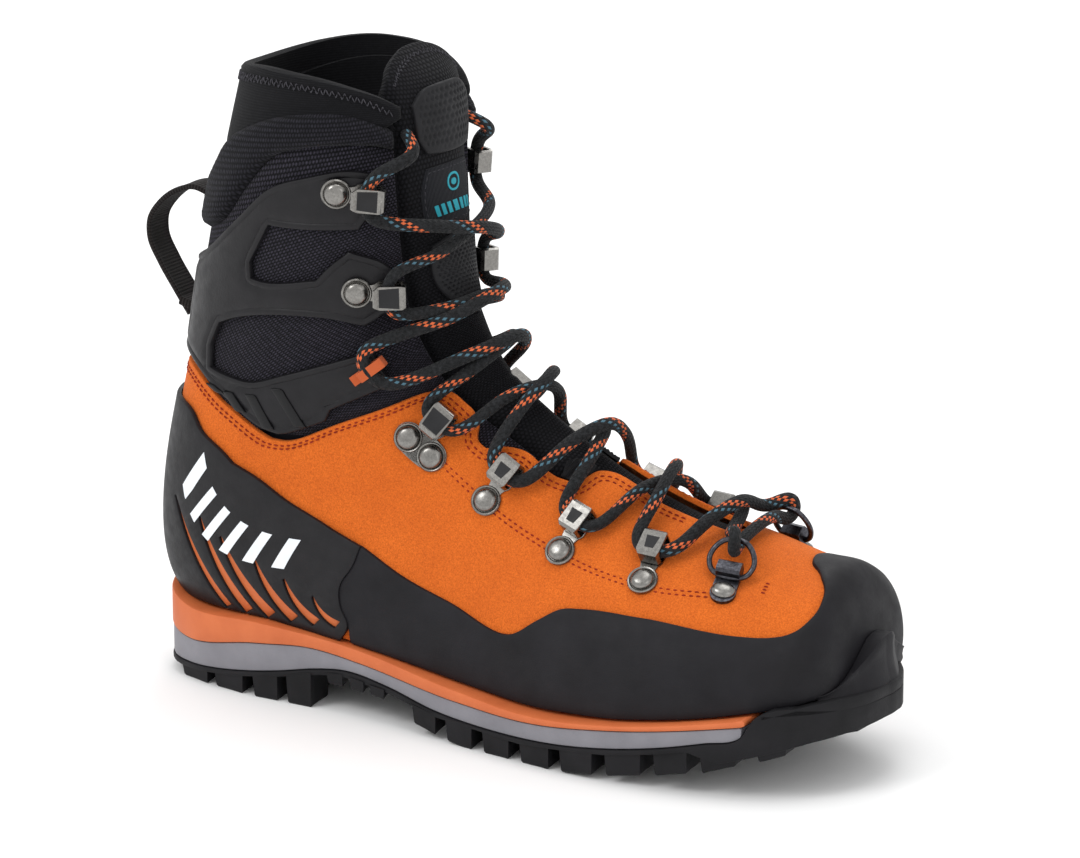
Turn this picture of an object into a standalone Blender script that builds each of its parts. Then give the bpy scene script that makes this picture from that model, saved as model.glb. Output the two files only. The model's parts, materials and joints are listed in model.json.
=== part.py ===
"""Mountaineering boot, right foot: laced leather and textile boot with a crampon-ready sole.

The upper is laid out on one curved form, the last. A point of it is named by two numbers:
u runs round a section (0 top or shin, 0.25 outer side, 0.5 sole or heel, 0.75 inner side) and
v runs from the toe tip (0), along the foot and up the shaft to the rim (1). Every panel is an
outline in u and v, laid on the last between two depths. +X is the toe, -Y the outer side.
"""

import math

import bmesh
import bpy
import numpy as np
from mathutils import Vector
from mathutils.geometry import delaunay_2d_cdt

# ---- driving dimensions, millimetres unless a name says otherwise ----
MM = 0.001
SHIFT = np.array([11.7, 4.6, 0.0])      # moves the last's own origin to the middle of the box
CELL = 17.0                             # spacing of the points inside a panel
EDGE = 11.0                              # longest edge piece round a panel
U_LENGTH = 340.0                        # rough length once round a section
BACK = 0.4985                           # u of the back seam
TOE_END = 0.018                         # v where panels stop under the toe bumper
FLEX_LOW, FLEX_HIGH = 117.0, 143.0      # heights between which the ankle bends
LIFT = 0.6                              # gap between the upper's lower edge and the sole
LACE_D = 4.6
ANKLE_AXIS = (-75.0, 0.0, 108.0)        # a point of the line the cuff turns about
FOOTBED_AXIS = (118.3, 0.0, 38.0)       # a point of the line the footbed lifts about
LOOP_TOP = np.array([-138.4, 0.0, 181.5])   # the pull loop's two sewn ends
LOOP_END = np.array([-148.6, 0.0, 134.5])
PLATE_W = 9.0                           # width of a lace hook or eyelet
PLATE_T = 1.2                           # its metal thickness
LACE_T, LACE_N = 12.3, 4.0              # lace centre in a hook, along and above its plate

# v, then x and z of the sole or heel edge and x and z of the top or shin edge
SPINE = [
    (0.00, 134, 30, 134, 36), (0.04, 132, 29, 129.5, 65), (0.10, 120, 20, 115, 75),
    (0.18, 96, 13, 92, 81), (0.27, 60, 8, 70, 87), (0.36, 20, 7, 45, 96),
    (0.45, -32, 12, 21, 108), (0.54, -92, 20, 1, 121), (0.62, -142, 26, -14, 134),
    (0.68, -157, 46, -21, 145), (0.74, -156, 78, -27, 158), (0.81, -148, 112, -30, 173),
    (0.88, -141, 146, -32, 190), (0.94, -133, 184, -34, 210), (1.00, -120, 234, -38, 234),
    (1.06, -112, 256, -55, 253),
]
# v, half width on the outer side and on the inner side
HALF_WIDTH = [
    (0.0, 1, 1), (0.04, 30, 27), (0.10, 44, 38), (0.18, 52, 43), (0.27, 53, 44),
    (0.36, 48, 41), (0.45, 41, 38), (0.54, 38, 37), (0.62, 37, 36), (0.74, 38, 37),
    (0.85, 40, 39), (1.06, 43, 42),
]
# v, sideways offset of the middle at the bottom and at the top
MIDDLE = [(0.0, 4, 4), (0.10, 4, 6), (0.27, 0, 5), (0.45, 0, 4), (0.62, 0, 2), (1.06, 0, 0)]
# v, share of the height where it is widest, squareness of the bottom, squareness of the top
FORM = [
    (0.0, 0.45, 2.2, 2.0), (0.10, 0.34, 3.2, 2.0), (0.27, 0.30, 4.5, 1.6),
    (0.45, 0.30, 4.5, 1.6), (0.56, 0.38, 3.4, 1.7), (0.66, 0.48, 2.6, 1.9),
    (0.80, 0.50, 2.4, 2.2), (1.06, 0.52, 2.4, 2.3),
]

# x, y of the outer edge and of the inner edge of the sole
SOLE = [
    (-155, -2, 2), (-152, -15, 15), (-146, -24, 24), (-135, -31, 31), (-105, -37, 36),
    (-60, -38, 34), (-10, -48, 37), (50, -57, 46), (95, -54, 45), (120, -45, 37),
    (134, -31, 26), (141, -16, 15), (143.5, 2, 8),
]
# x and height of: the line where the upper meets the sole, the frame's lower line, the wedge's
# lower line, the outsole between its lugs, and the bottom of the lugs
FEATHER = [(-155, 34), (-138, 29.5), (-98, 29.5), (-54, 26), (-7, 21), (22, 19), (57, 21.5),
           (88, 26.2), (114, 30.8), (130, 35), (150, 35)]
FRAME_LOW = [(-155, 19), (-138, 16.2), (-100, 21.2), (-80, 23), (-56, 20.9), (-7, 16.5),
             (22, 15.8), (57, 19.2), (92, 24.4), (112, 27.4), (150, 32)]
WEDGE_LOW = [(-155, 6), (-138, 6.4), (-112, 8.5), (-92, 11.8), (-74, 15.4), (-64, 16.6),
             (-42, 14.8), (-19, 11), (22, 9.6), (58, 12.6), (80, 16.4), (96, 19.9),
             (109, 23), (113.5, 30.4), (150, 30.4)]
TREAD = [(-155, 3.4), (-138, 4.4), (-80, 5.5), (-72, 13), (-45, 12.2), (-29, 8), (-11, 5.4),
         (35, 5), (61, 7.6), (79, 11), (96, 14.5), (130, 23), (150, 26)]
GROUND = [(-155, 1.6), (-143, 0), (-76, 0), (-71, 10.6), (-44, 10), (-29, 4), (-11, 0.6),
          (-6, 0), (36, 0), (61, 2.8), (79, 5.8), (96, 9.1), (130, 18.5), (150, 22)]

# v and its distance along the unrolled sheet, stretched where the toe and the heel curve most
UNROLL = [(0.0, 0), (0.1, 72), (0.58, 262), (0.70, 340), (1.06, 485)]

materials = {}
for old in list(bpy.data.objects):
    bpy.data.objects.remove(old)


# ---- curves and the last ----
def spline(knots):
    """A natural cubic through (position, value, ...) knots."""
    table = np.array(knots, float)
    x, y = table[:, 0], table[:, 1:]
    n, h = len(x), np.diff(x)
    a = np.eye(n)
    b = np.zeros((n, y.shape[1]))
    for i in range(1, n - 1):
        a[i, i - 1:i + 2] = h[i - 1], 2 * (h[i - 1] + h[i]), h[i]
        b[i] = 6 * ((y[i + 1] - y[i]) / h[i] - (y[i] - y[i - 1]) / h[i - 1])
    m = np.linalg.solve(a, b)

    def at(t):
        t = np.asarray(t, float)
        i = np.clip(np.searchsorted(x, t) - 1, 0, n - 2)
        width, low, high = h[i][..., None], (x[i + 1] - t)[..., None], (t - x[i])[..., None]
        bend = (m[i] * low**3 + m[i + 1] * high**3) / (6 * width)
        start = (y[i] / width - m[i] * width / 6) * low
        return bend + start + (y[i + 1] / width - m[i + 1] * width / 6) * high
    return at


def heights(table):
    """A height that changes in straight lines between (x, z) pairs."""
    x, z = np.array(table, float).T
    return lambda at: np.interp(at, x, z)


spine, half_width, middle, form = map(spline, (SPINE, HALF_WIDTH, MIDDLE, FORM))
feather, frame_low, wedge_low, tread, ground = map(
    heights, (FEATHER, FRAME_LOW, WEDGE_LOW, TREAD, GROUND))


def last(u, v):
    """Points of the last."""
    u, v = np.broadcast_arrays(np.asarray(u, float), np.asarray(v, float))
    edge, wide, mid, shape = spine(v), half_width(v), middle(v), form(v)
    top = (1 + np.cos(2 * np.pi * u)) / 2
    share = np.clip(top, 1e-9, 1) ** (math.log(0.5) / np.log(shape[..., 0]))
    square = shape[..., 1] * (1 - share) + shape[..., 2] * share
    bulge = np.clip(1 - (1 - 2 * share) ** 2, 0, 1) ** (1 / square)
    outer = (u % 1) < 0.5
    reach = np.where(outer, -wide[..., 0], wide[..., 1]) * bulge
    x = edge[..., 0] * (1 - top) + edge[..., 2] * top
    z = edge[..., 1] * (1 - top) + edge[..., 3] * top
    return np.stack([x, mid[..., 0] * (1 - top) + mid[..., 1] * top + reach, z], -1)


def outward(u, v):
    """Unit normals of the last, pointing out."""
    step = 0.004
    along_u = last(u + step, v) - last(u - step, v)
    along_v = last(u, v + step) - last(u, np.maximum(v - step, 0))
    n = np.cross(along_v, along_u)
    return n / np.linalg.norm(n, axis=-1, keepdims=True)


def on_last(u, v, depth):
    """Points a depth outside (+) or inside (-) the last."""
    u, v = np.asarray(u, float), np.asarray(v, float)
    return last(u, v) + outward(u, v) * np.asarray(depth, float)[..., None]


def unrolled(points):
    """Chart points laid flat, in millimetres."""
    u, v = np.asarray(points, float).T
    return np.column_stack([u * U_LENGTH, np.interp(v, *zip(*UNROLL))])


def rolled(flat):
    """u and v of flat points."""
    v, length = zip(*UNROLL)
    return flat[:, 0] / U_LENGTH, np.interp(flat[:, 1], length, v)


def bisect(f, low, high):
    """Where the rising function f crosses zero."""
    for _ in range(40):
        mid = (low + high) / 2
        low, high = (mid, high) if f(mid) < 0 else (low, mid)
    return low


def feather_u(v, lift=LIFT):
    """u where the last comes down to the sole. Both sides share it."""
    def below(u):
        x, _, z = last(u, v)
        return feather(x) + lift - z
    return bisect(below, 0.0, 0.5)


def v_at_height(u, z):
    return bisect(lambda v: last(u, v)[2] - z, 0.40 if abs(u) < 0.25 else 0.64, 1.05)


def ring_edge(z, start, end, count=14):
    """Chart points along one height of the shaft."""
    return [(u, v_at_height(u, z)) for u in np.linspace(start, end, count)]


def heel_v(lift=LIFT):
    """v where the back of the heel comes down to the sole."""
    def above(v):
        x, _, z = last(0.5, v)
        return z - feather(x) - lift
    return bisect(above, 0.6, 0.72)


def lower_edge(first_v, last_v, count=18, lift=LIFT):
    """Chart points along the sole."""
    return [(feather_u(v, lift), v) for v in np.linspace(first_v, last_v, count)]


def both_sides(half, middle_u=0.0):
    """An outline from its outer half, mirrored about the middle of the toe or of the heel."""
    other = [(2 * middle_u - u, v) for u, v in reversed(half)]
    return half + [p for p in other if abs(p[0] - middle_u) > 1e-6]


# ---- objects ----
def material(name, colour, roughness, metallic=0.0):
    if name not in materials:
        made = bpy.data.materials.new(name)
        made.use_nodes = True
        shader = made.node_tree.nodes["Principled BSDF"]
        shader.inputs["Base Color"].default_value = (*colour, 1)
        shader.inputs["Roughness"].default_value = roughness
        shader.inputs["Metallic"].default_value = metallic
        materials[name] = made
    return materials[name]


def add(name, vertices, faces, finish, smooth=True):
    """A mesh object from points of the last's frame; its normals are turned outwards."""
    mesh = bpy.data.meshes.new(name)
    points = (np.asarray(vertices, float) + SHIFT) * MM
    mesh.from_pydata([tuple(p) for p in points], [], [tuple(f) for f in faces])
    work = bmesh.new()
    work.from_mesh(mesh)
    bmesh.ops.recalc_face_normals(work, faces=work.faces)
    work.to_mesh(mesh)
    work.free()
    if smooth:
        mesh.shade_smooth()
        mesh.set_sharp_from_angle(angle=math.radians(40))
    mesh.materials.append(finish)
    obj = bpy.data.objects.new(name, mesh)
    bpy.context.scene.collection.objects.link(obj)
    return obj


def inside(points, loop):
    """Which 2-D points lie inside a closed loop."""
    x, y = points[:, 0, None], points[:, 1, None]
    a, b = loop, np.roll(loop, -1, 0)
    spans = (a[:, 1] > y) != (b[:, 1] > y)
    with np.errstate(divide="ignore", invalid="ignore"):
        cross = a[:, 0] + (y - a[:, 1]) * (b[:, 0] - a[:, 0]) / (b[:, 1] - a[:, 1])
    return (spans & (x < cross)).sum(1) % 2 == 1


def subdivided(loop, longest):
    """The closed loop with no piece longer than this."""
    out = []
    for a, b in zip(loop, np.roll(loop, -1, 0)):
        parts = max(1, math.ceil(np.linalg.norm(b - a) / longest))
        out += [a + (b - a) * i / parts for i in range(parts)]
    return np.array(out)


def to_edges(points, loop):
    """Distance of each point to a loop's nearest edge."""
    a, b = loop, np.roll(loop, -1, 0)
    d = b - a
    t = np.clip(((points[:, None] - a) * d).sum(-1) / (d * d).sum(-1), 0, 1)
    return np.linalg.norm(points[:, None] - a - d * t[..., None], axis=-1).min(1)


def triangulate(loops, cell, creases=()):
    """Flat triangles inside loops[0] and outside the other loops, with points in a staggered grid.

    Creases are closed lines or straight ones that the triangles follow on both sides.
    """
    step = np.array([cell, cell * math.sqrt(3) / 2])
    first = np.floor(loops[0].min(0) / step).astype(int) - 1
    final = np.ceil(loops[0].max(0) / step).astype(int) + 1
    grid = [((i + j % 2 / 2) * step[0], j * step[1])
            for i in range(first[0], final[0]) for j in range(first[1], final[1])]
    points, edges = [], []
    for loop in (*loops, *creases):
        n = len(points)
        edges += [(n + i, n + (i + 1) % len(loop)) for i in range(len(loop))]
        points += list(loop)
    grid = np.array(grid)
    keep = inside(grid, loops[0])
    for loop in (*loops, *creases):
        keep &= to_edges(grid, loop) > cell * 0.45
    for loop in loops[1:]:
        keep &= ~inside(grid, loop)
    points += list(grid[keep])
    flat, _, faces, *_ = delaunay_2d_cdt([Vector(p) for p in points], edges, [], 0, 1e-5)
    flat = np.array([tuple(p) for p in flat])
    faces = np.array([f for f in faces])
    centre = flat[faces].mean(1)
    keep = inside(centre, loops[0])
    for loop in loops[1:]:
        keep &= ~inside(centre, loop)
    return flat, faces[keep]


def closed_shell(low, high, faces):
    """Two matching sheets joined round every open edge."""
    used = sorted(set(faces.ravel()))
    index = {old: new for new, old in enumerate(used)}
    faces = [[index[i] for i in f] for f in faces]
    n = len(used)
    sides = {}
    for f in faces:
        for a, b in zip(f, f[1:] + f[:1]):
            sides[a, b] = True
    rim = [(a, b) for a, b in sides if (b, a) not in sides]
    walls = [wall for a, b in rim for wall in ((a, b, b + n), (a, b + n, a + n))]
    shells = faces + [[i + n for i in reversed(f)] for f in faces]
    return np.concatenate([high[used], low[used]]), shells + walls


def panel(name, outline, inner, outer, finish, holes=()):
    """A sheet of the upper: an outline in u and v between two depths."""
    flat, faces = triangulate([subdivided(unrolled(each), EDGE) for each in (outline, *holes)], CELL)
    u, v = rolled(flat)
    low, high = [on_last(u, v, np.full(len(u), depth)) for depth in (inner, outer)]
    return add(name, *closed_shell(low, high, faces), finish)


def slab(name, outer, inner, low, high, finish):
    """A plate lofted across from the outer edge to the inner edge, between two heights of x."""
    rings = []
    for (x0, y0), (x1, y1) in zip(outer, inner):
        rings.append([(x0, y0, low(x0)), (x1, y1, low(x1)), (x1, y1, high(x1)), (x0, y0, high(x0))])
    n = len(rings)
    faces = [(0, 1, 2, 3), tuple(4 * (n - 1) + k for k in (3, 2, 1, 0))]
    for i in range(n - 1):
        for k in range(4):
            j = (k + 1) % 4
            faces.append((4 * i + k, 4 * i + 4 + k, 4 * i + 4 + j, 4 * i + j))
    return add(name, np.concatenate(rings), faces, finish)


def edge_y(x, column):
    """y of the sole's outer edge (1) or inner edge (2)."""
    return np.interp(x, [row[0] for row in SOLE], [row[column] for row in SOLE])


def sole_sides(start, end, inset=0.0, tables=()):
    """The sole's two edges, with a point at each bend of its outline and of these heights."""
    bends = {row[0] for table in (SOLE, *tables) for row in table if start < row[0] < end}
    x = np.array(sorted(bends | {start, end}), float)
    return (np.column_stack([x, edge_y(x, 1) + inset]), np.column_stack([x, edge_y(x, 2) - inset]))


def foot_sides(first_v, last_v, depth, lift, count=16):
    """Two lines inside the upper, just above the sole."""
    places = [(feather_u(v, lift), v) for v in np.linspace(first_v, last_v, count)]
    return [[on_last(side * u, v, depth)[:2] for u, v in places] for side in (1, -1)]


def profile_solid(name, base, loops, width, finish):
    """A flat outline in (along, above) extruded across a hardware frame."""
    flat, faces = triangulate([np.array(loop, float) for loop in loops], 1000.0)
    origin, along, across, above = base
    points = origin + flat[:, :1] * along + flat[:, 1:] * above
    half = across * width / 2
    return add(name, *closed_shell(points - half, points + half, faces), finish)


def turned(name, base, place, profile, finish, steps=12):
    """A solid turned about the axis that stands on a hardware frame at (along, across)."""
    origin, along, across, above = base
    centre = origin + along * place[0] + across * place[1]
    points, faces = [centre + above * profile[0][1]], []
    for radius, height in profile[1:-1]:
        for k in range(steps):
            turn = 2 * math.pi * k / steps
            ray = along * math.cos(turn) + across * math.sin(turn)
            points.append(centre + ray * radius + above * height)
    points.append(centre + above * profile[-1][1])
    rows = len(profile) - 2
    for k in range(steps):
        j = (k + 1) % steps
        faces.append((0, 1 + j, 1 + k))
        for r in range(rows - 1):
            a = 1 + r * steps
            faces.append((a + k, a + j, a + steps + j, a + steps + k))
        a = 1 + (rows - 1) * steps
        faces.append((a + k, a + j, len(points) - 1))
    return add(name, points, faces, finish)


def tube(name, points, diameter, finish, closed=False, sides=2):
    curve = bpy.data.curves.new(name, "CURVE")
    curve.dimensions = "3D"
    curve.bevel_depth = diameter / 2 * MM
    curve.bevel_resolution = sides
    curve.use_fill_caps = not closed
    line = curve.splines.new("POLY")
    line.points.add(len(points) - 1)
    line.use_cyclic_u = closed
    for spot, p in zip(line.points, (np.asarray(points) + SHIFT) * MM):
        spot.co = (*p, 1)
    curve.materials.append(finish)
    obj = bpy.data.objects.new(name, curve)
    bpy.context.scene.collection.objects.link(obj)
    return obj


def unite(obj, *others):
    """Joins helper solids into one body."""
    for other in others:
        other.hide_render = True
        other.display_type = "WIRE"
        joint = obj.modifiers.new("join_" + other.name, "BOOLEAN")
        joint.operation = "UNION"
        joint.solver = "EXACT"
        joint.object = other


# ---- materials ----
SUEDE = ("suede_orange", (0.70, 0.16, 0.025), 0.85)
RUBBER = ("rubber_black", (0.018, 0.018, 0.021), 0.6)
TPU = ("cage_black", (0.022, 0.02, 0.024), 0.5)
TEXTILE = ("textile_black", (0.014, 0.014, 0.017), 0.9)
SOCK = ("sock_knit", (0.016, 0.016, 0.018), 0.95)
FOAM_ORANGE = ("midsole_orange", (0.63, 0.2, 0.08), 0.6)
FOAM_GREY = ("midsole_grey", (0.24, 0.23, 0.25), 0.6)
LINING = ("lining_grey", (0.05, 0.05, 0.055), 0.95)
BOARD = ("board_tan", (0.35, 0.27, 0.18), 0.8)
STEEL = ("shank_steel", (0.4, 0.4, 0.42), 0.35, 1.0)
NICKEL = ("antique_nickel", (0.36, 0.35, 0.34), 0.35, 1.0)
GUNMETAL = ("gunmetal", (0.12, 0.12, 0.13), 0.35, 1.0)
WEBBING = ("webbing_black", (0.012, 0.011, 0.011), 0.9)
WEBBING_ORANGE = ("webbing_orange", (0.6, 0.14, 0.04), 0.85)
LACE = ("lace_braid", (0.025, 0.027, 0.03), 0.85)
LABEL = ("label_black", (0.02, 0.021, 0.024), 0.7)


# ---- outlines of the upper, outer half, in u and v ----
FLOOR_BACK = [(BACK, heel_v() + 0.004), *lower_edge(heel_v() - 0.003, TOE_END, 22)]
FACING = [(0.0, 0.205), (0.04, 0.235), (0.047, 0.293), (0.052, 0.34), (0.047, 0.37),
          (0.052, 0.40), (0.065, 0.415), (0.10, 0.425), (0.108, 0.45), (0.106, 0.505),
          (0.113, 0.52), (0.127, 0.535), (0.125, 0.548), (0.107, 0.567), (0.10, 0.60),
          (0.104, 0.625)]
SUEDE_TOP = [(0.118, 0.639), (0.162, 0.657), (0.202, 0.674), (0.24, 0.687), (0.258, 0.701),
             (0.307, 0.755), (0.388, 0.814), (BACK, 0.835)]
SEAM = [(0.268, 0.549), (0.29, 0.542), (0.315, 0.539), (0.342, 0.528), (0.365, 0.515)]
RAND_TOP = [(0.0, 0.118), (0.025, 0.113), (0.057, 0.089), (0.095, 0.07), (0.135, 0.067),
            (0.177, 0.08), (0.195, 0.11), (0.202, 0.156), (0.205, 0.273), (0.223, 0.345),
            (0.232, 0.363), (0.257, 0.382), (0.287, 0.401), (0.285, 0.459), (0.282, 0.501)]
CAGE_TOP = [(0.268, 0.555), (0.262, 0.582), (0.262, 0.629), (0.283, 0.684), (0.308, 0.715),
            (0.34, 0.745), (0.362, 0.768), (0.44, 0.796), (0.5, 0.803)]
# each slot of the cage: its sharp upper end, its wide lower end and its width there
SLASHES = [(0.385, 0.705, 0.415, 0.615, 3.6), (0.347, 0.676, 0.402, 0.585, 4.6),
           (0.332, 0.646, 0.395, 0.562, 4.8), (0.325, 0.602, 0.39, 0.542, 4.6),
           (0.335, 0.572, 0.382, 0.528, 4.2), (0.349, 0.547, 0.376, 0.52, 3.0)]
EXO = [(0.5, 0.845), (0.388, 0.823), (0.307, 0.764), (0.258, 0.71), (0.24, 0.696),
       (0.205, 0.684), (0.198, 0.692), (0.152, 0.68), (0.143, 0.688), (0.15, 0.728),
       (0.173, 0.735), (0.238, 0.755), (0.272, 0.765), (0.302, 0.783), (0.338, 0.805),
       (0.343, 0.827), (0.33, 0.845), (0.307, 0.844), (0.197, 0.801), (0.152, 0.763),
       (0.13, 0.768), (0.115, 0.817), (0.13, 0.841), (0.167, 0.87), (0.19, 0.861),
       (0.205, 0.851), (0.272, 0.871), (0.285, 0.877), (0.288, 0.891), (0.265, 0.917),
       (0.155, 0.89), (0.143, 0.901), (0.136, 0.932), (0.139, 0.939), (0.157, 0.943),
       (0.218, 0.945), (0.273, 0.941), (0.312, 0.928), (0.36, 0.914), (0.5, 0.908)]
ROLL_LOW = [(0.5, 0.924), (0.40, 0.924), (0.355, 0.928), (0.318, 0.944), (0.285, 0.957),
            (0.228, 0.962), (0.162, 0.960), (0.12, 0.955), (0.105, 0.951)]
ROLL_HIGH = [(0.105, 0.966), (0.118, 0.972), (0.162, 0.983), (0.232, 0.985), (0.315, 0.978),
             (0.382, 0.967), (0.413, 0.957), (0.5, 0.954)]


def suede_upper():
    half = FACING + SUEDE_TOP + FLOOR_BACK
    panel("suede_upper", both_sides(half), -3.3, -1.9, material(*SUEDE))


def rand():
    half = RAND_TOP + SEAM + lower_edge(0.505, TOE_END, 20, 1.7)
    panel("rand", both_sides(half), -0.8, 1.0, material(*RUBBER))


def slash(u0, v0, u1, v1, width):
    """A leaf-shaped slot."""
    a, b = unrolled([(u0, v0), (u1, v1)])
    side = np.array([a[1] - b[1], b[0] - a[0]]) / np.linalg.norm(b - a) * width / 2
    loop = [a, a + (b - a) * 0.4 + side, b + side, b - side, a + (b - a) * 0.4 - side]
    return list(zip(*rolled(np.array(loop))))


def heel_cage():
    front = [(u, v + 0.005) for u, v in reversed(SEAM)]
    floor = [(0.5, heel_v(2.4)), *lower_edge(heel_v(2.4) - 0.003, 0.512, 12, 2.4)]
    holes = [slash(*each) for each in SLASHES]
    holes += [[(1 - u, v) for u, v in hole] for hole in holes]
    outline = both_sides(floor + front + CAGE_TOP, 0.5)
    panel("heel_cage", outline, 0.5, 1.9, material(*TPU), holes)


def stiffeners():
    cap = [(0.0, 0.19), (0.15, 0.185), (0.25, 0.15), (0.26, 0.10), (0.20, 0.075), (0.0, 0.07)]
    panel("toe_puff", both_sides(cap), -5.3, -4.3, material(*BOARD))
    floor = [(0.5, heel_v() + 0.004), *lower_edge(heel_v() - 0.006, 0.54, 10)]
    half = floor + [(0.33, 0.56), (0.31, 0.62), (0.33, 0.68), (0.40, 0.72), (0.5, 0.73)]
    panel("heel_counter", both_sides(half, 0.5), -5.3, -4.3, material(*BOARD))


def lining_lower():
    throat = [(0.0, 0.20), (0.06, 0.215), (0.11, 0.26), (0.12, 0.40), (0.12, 0.50)]
    half = throat + ring_edge(FLEX_LOW, 0.125, BACK) + FLOOR_BACK
    panel("lining_lower", both_sides(half), -7.9, -6.4, material(*LINING))


def tongue_lower():
    half = [(0.0, 0.215), (0.07, 0.23), (0.13, 0.28), (0.15, 0.40)]
    half += [(0.15, v_at_height(0.15, FLEX_LOW)), (0.0, v_at_height(0.0, FLEX_LOW))]
    panel("tongue_lower", both_sides(half), -11.0, -8.9, material(*TEXTILE))


def ankle_gusset():
    front = ring_edge(FLEX_LOW + 1, 0.0, 0.06, 4)
    low = ring_edge(FLEX_LOW - 14, 0.10, BACK)
    high = ring_edge(FLEX_HIGH + 3, BACK, 0.0)
    panel("ankle_gusset", both_sides(front + low + high), -5.2, -4.2, material(*TEXTILE))


def cuff():
    low = ring_edge(FLEX_HIGH, 0.5, 0.105)
    high = [(0.105, 0.942), (0.162, 0.952), (0.228, 0.954), (0.28, 0.949), (0.315, 0.935),
            (0.355, 0.92), (0.40, 0.916), (0.5, 0.916)]
    panel("cuff_shell", both_sides(low + high, 0.5), -3.3, -1.7, material(*TEXTILE))
    panel("exo_cage", both_sides(EXO, 0.5), -0.8, 1.0, material(*TPU))
    panel("collar_roll", both_sides(ROLL_LOW + ROLL_HIGH, 0.5), -5.2, 3.0, material(*TEXTILE))


def sock_collar():
    """The knitted inner sleeve and the hem round its rim, above the padded roll."""
    half = ring_edge(FLEX_HIGH + 4.5, 0.5, 0.10)
    half += [(0.10, 0.97), (0.11, 0.98), (0.16, 0.99), (0.28, 0.995), (0.5, 0.985)]
    panel("sock_collar", both_sides(half, 0.5), -7.9, -6.1, material(*SOCK))
    hem = [(0.5, 0.968), (0.40, 0.973), (0.315, 0.988), (0.232, 0.994), (0.162, 0.992),
           (0.118, 0.982), (0.09, 0.976), (0.088, 0.986), (0.12, 0.997), (0.17, 1.006),
           (0.28, 1.012), (0.5, 1.004)]
    panel("collar_hem", both_sides(hem, 0.5), -5.3, -0.8, material(*SOCK))


def tongue_upper():
    low = v_at_height(0.0, FLEX_HIGH + 4)
    half = [(0.0, low), (0.13, v_at_height(0.13, FLEX_HIGH + 4)), (0.13, 0.97), (0.105, 1.0),
            (0.06, 1.035), (0.0, 1.05)]
    panel("tongue_upper", both_sides(half), -11.2, -9.1, material(*SOCK))
    lower = [(0.0, 0.705), (0.03, 0.72), (0.06, 0.76), (0.066, 0.80), (0.06, 0.83), (0.0, 0.838)]
    panel("tongue_pad_lower", both_sides(lower), -8.0, -2.2, material(*TEXTILE))
    label = [(0.0, 0.855), (0.03, 0.853), (0.054, 0.86), (0.057, 0.915), (0.03, 0.924), (0.0, 0.92)]
    panel("tongue_label", both_sides(label), -7.9, -6.3, material(*LABEL))
    top = [(0.0, 0.937), (0.05, 0.94), (0.066, 0.955), (0.066, 0.98), (0.04, 0.993), (0.0, 0.997)]
    panel("tongue_pad_top", both_sides(top), -8.0, -2.2, material(*TEXTILE))


# ---- sole ----
def midsole():
    sides = sole_sides(-155, 111.4, 0.0, (FEATHER, FRAME_LOW, WEDGE_LOW))
    slab("midsole_frame", *sides, lambda x: max(frame_low(x), wedge_low(x)) + 0.2, feather,
         material(*FOAM_ORANGE))
    sides = sole_sides(-154.6, 110.6, 0.6, (FRAME_LOW, WEDGE_LOW))
    slab("midsole_wedge", *sides, lambda x: wedge_low(x) + 0.2, lambda x: frame_low(x) - 0.2,
         material(*FOAM_GREY))


def toe_protection():
    sides = sole_sides(116, 143.5, 0.0, (FEATHER,))
    slab("toe_welt", *sides, lambda x: 30.8, feather, material(*RUBBER))
    centre = np.array([104.0, 5.0])
    turns = np.radians(np.linspace(-52, 46, 15))

    def radii(points):
        away = np.asarray(points) - centre
        angle = np.arctan2(away[:, 1], away[:, 0])
        order = np.argsort(angle)
        return lambda turn: np.interp(turn, angle[order], np.hypot(*away.T)[order])

    def section(z):
        """The last's outline at one height, round the toe."""
        found = []
        for v in np.linspace(0.002, 0.2, 200):
            edge = spine(v)
            share = (z - edge[1]) / (edge[3] - edge[1])
            if 0 < share < 1:
                u = math.acos(2 * share - 1) / (2 * math.pi)
                found += [last(u, v)[:2], last(-u, v)[:2]]
        return radii(found)

    rim = radii([(x, row[k]) for row in SOLE for k, x in ((1, row[0]), (2, row[0])) if x > 90])
    rings = []
    for turn in turns:
        ray = np.array([math.cos(turn), math.sin(turn)])
        lip = 37.5 + 14.0 * math.cos(turn * 1.6) ** 2
        low_z = 35.5
        inside_low, inside_high = section(low_z)(turn) + 2.4, section(lip)(turn) + 2.4
        outside_low = max(rim(turn) - 1.5, inside_low + 2)
        outside_high = max(rim(turn) - 3.0, inside_high + 2)
        for radius, z in ((inside_low, low_z), (outside_low, low_z), (outside_high, lip),
                          (inside_high, lip)):
            rings.append((*(centre + ray * radius), z))
    n = len(turns)
    faces = [(0, 1, 2, 3), tuple(4 * (n - 1) + k for k in (3, 2, 1, 0))]
    for i in range(n - 1):
        for k in range(4):
            j = (k + 1) % 4
            faces.append((4 * i + k, 4 * i + 4 + k, 4 * i + 4 + j, 4 * i + j))
    add("toe_bumper", rings, faces, material(*RUBBER))


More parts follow.
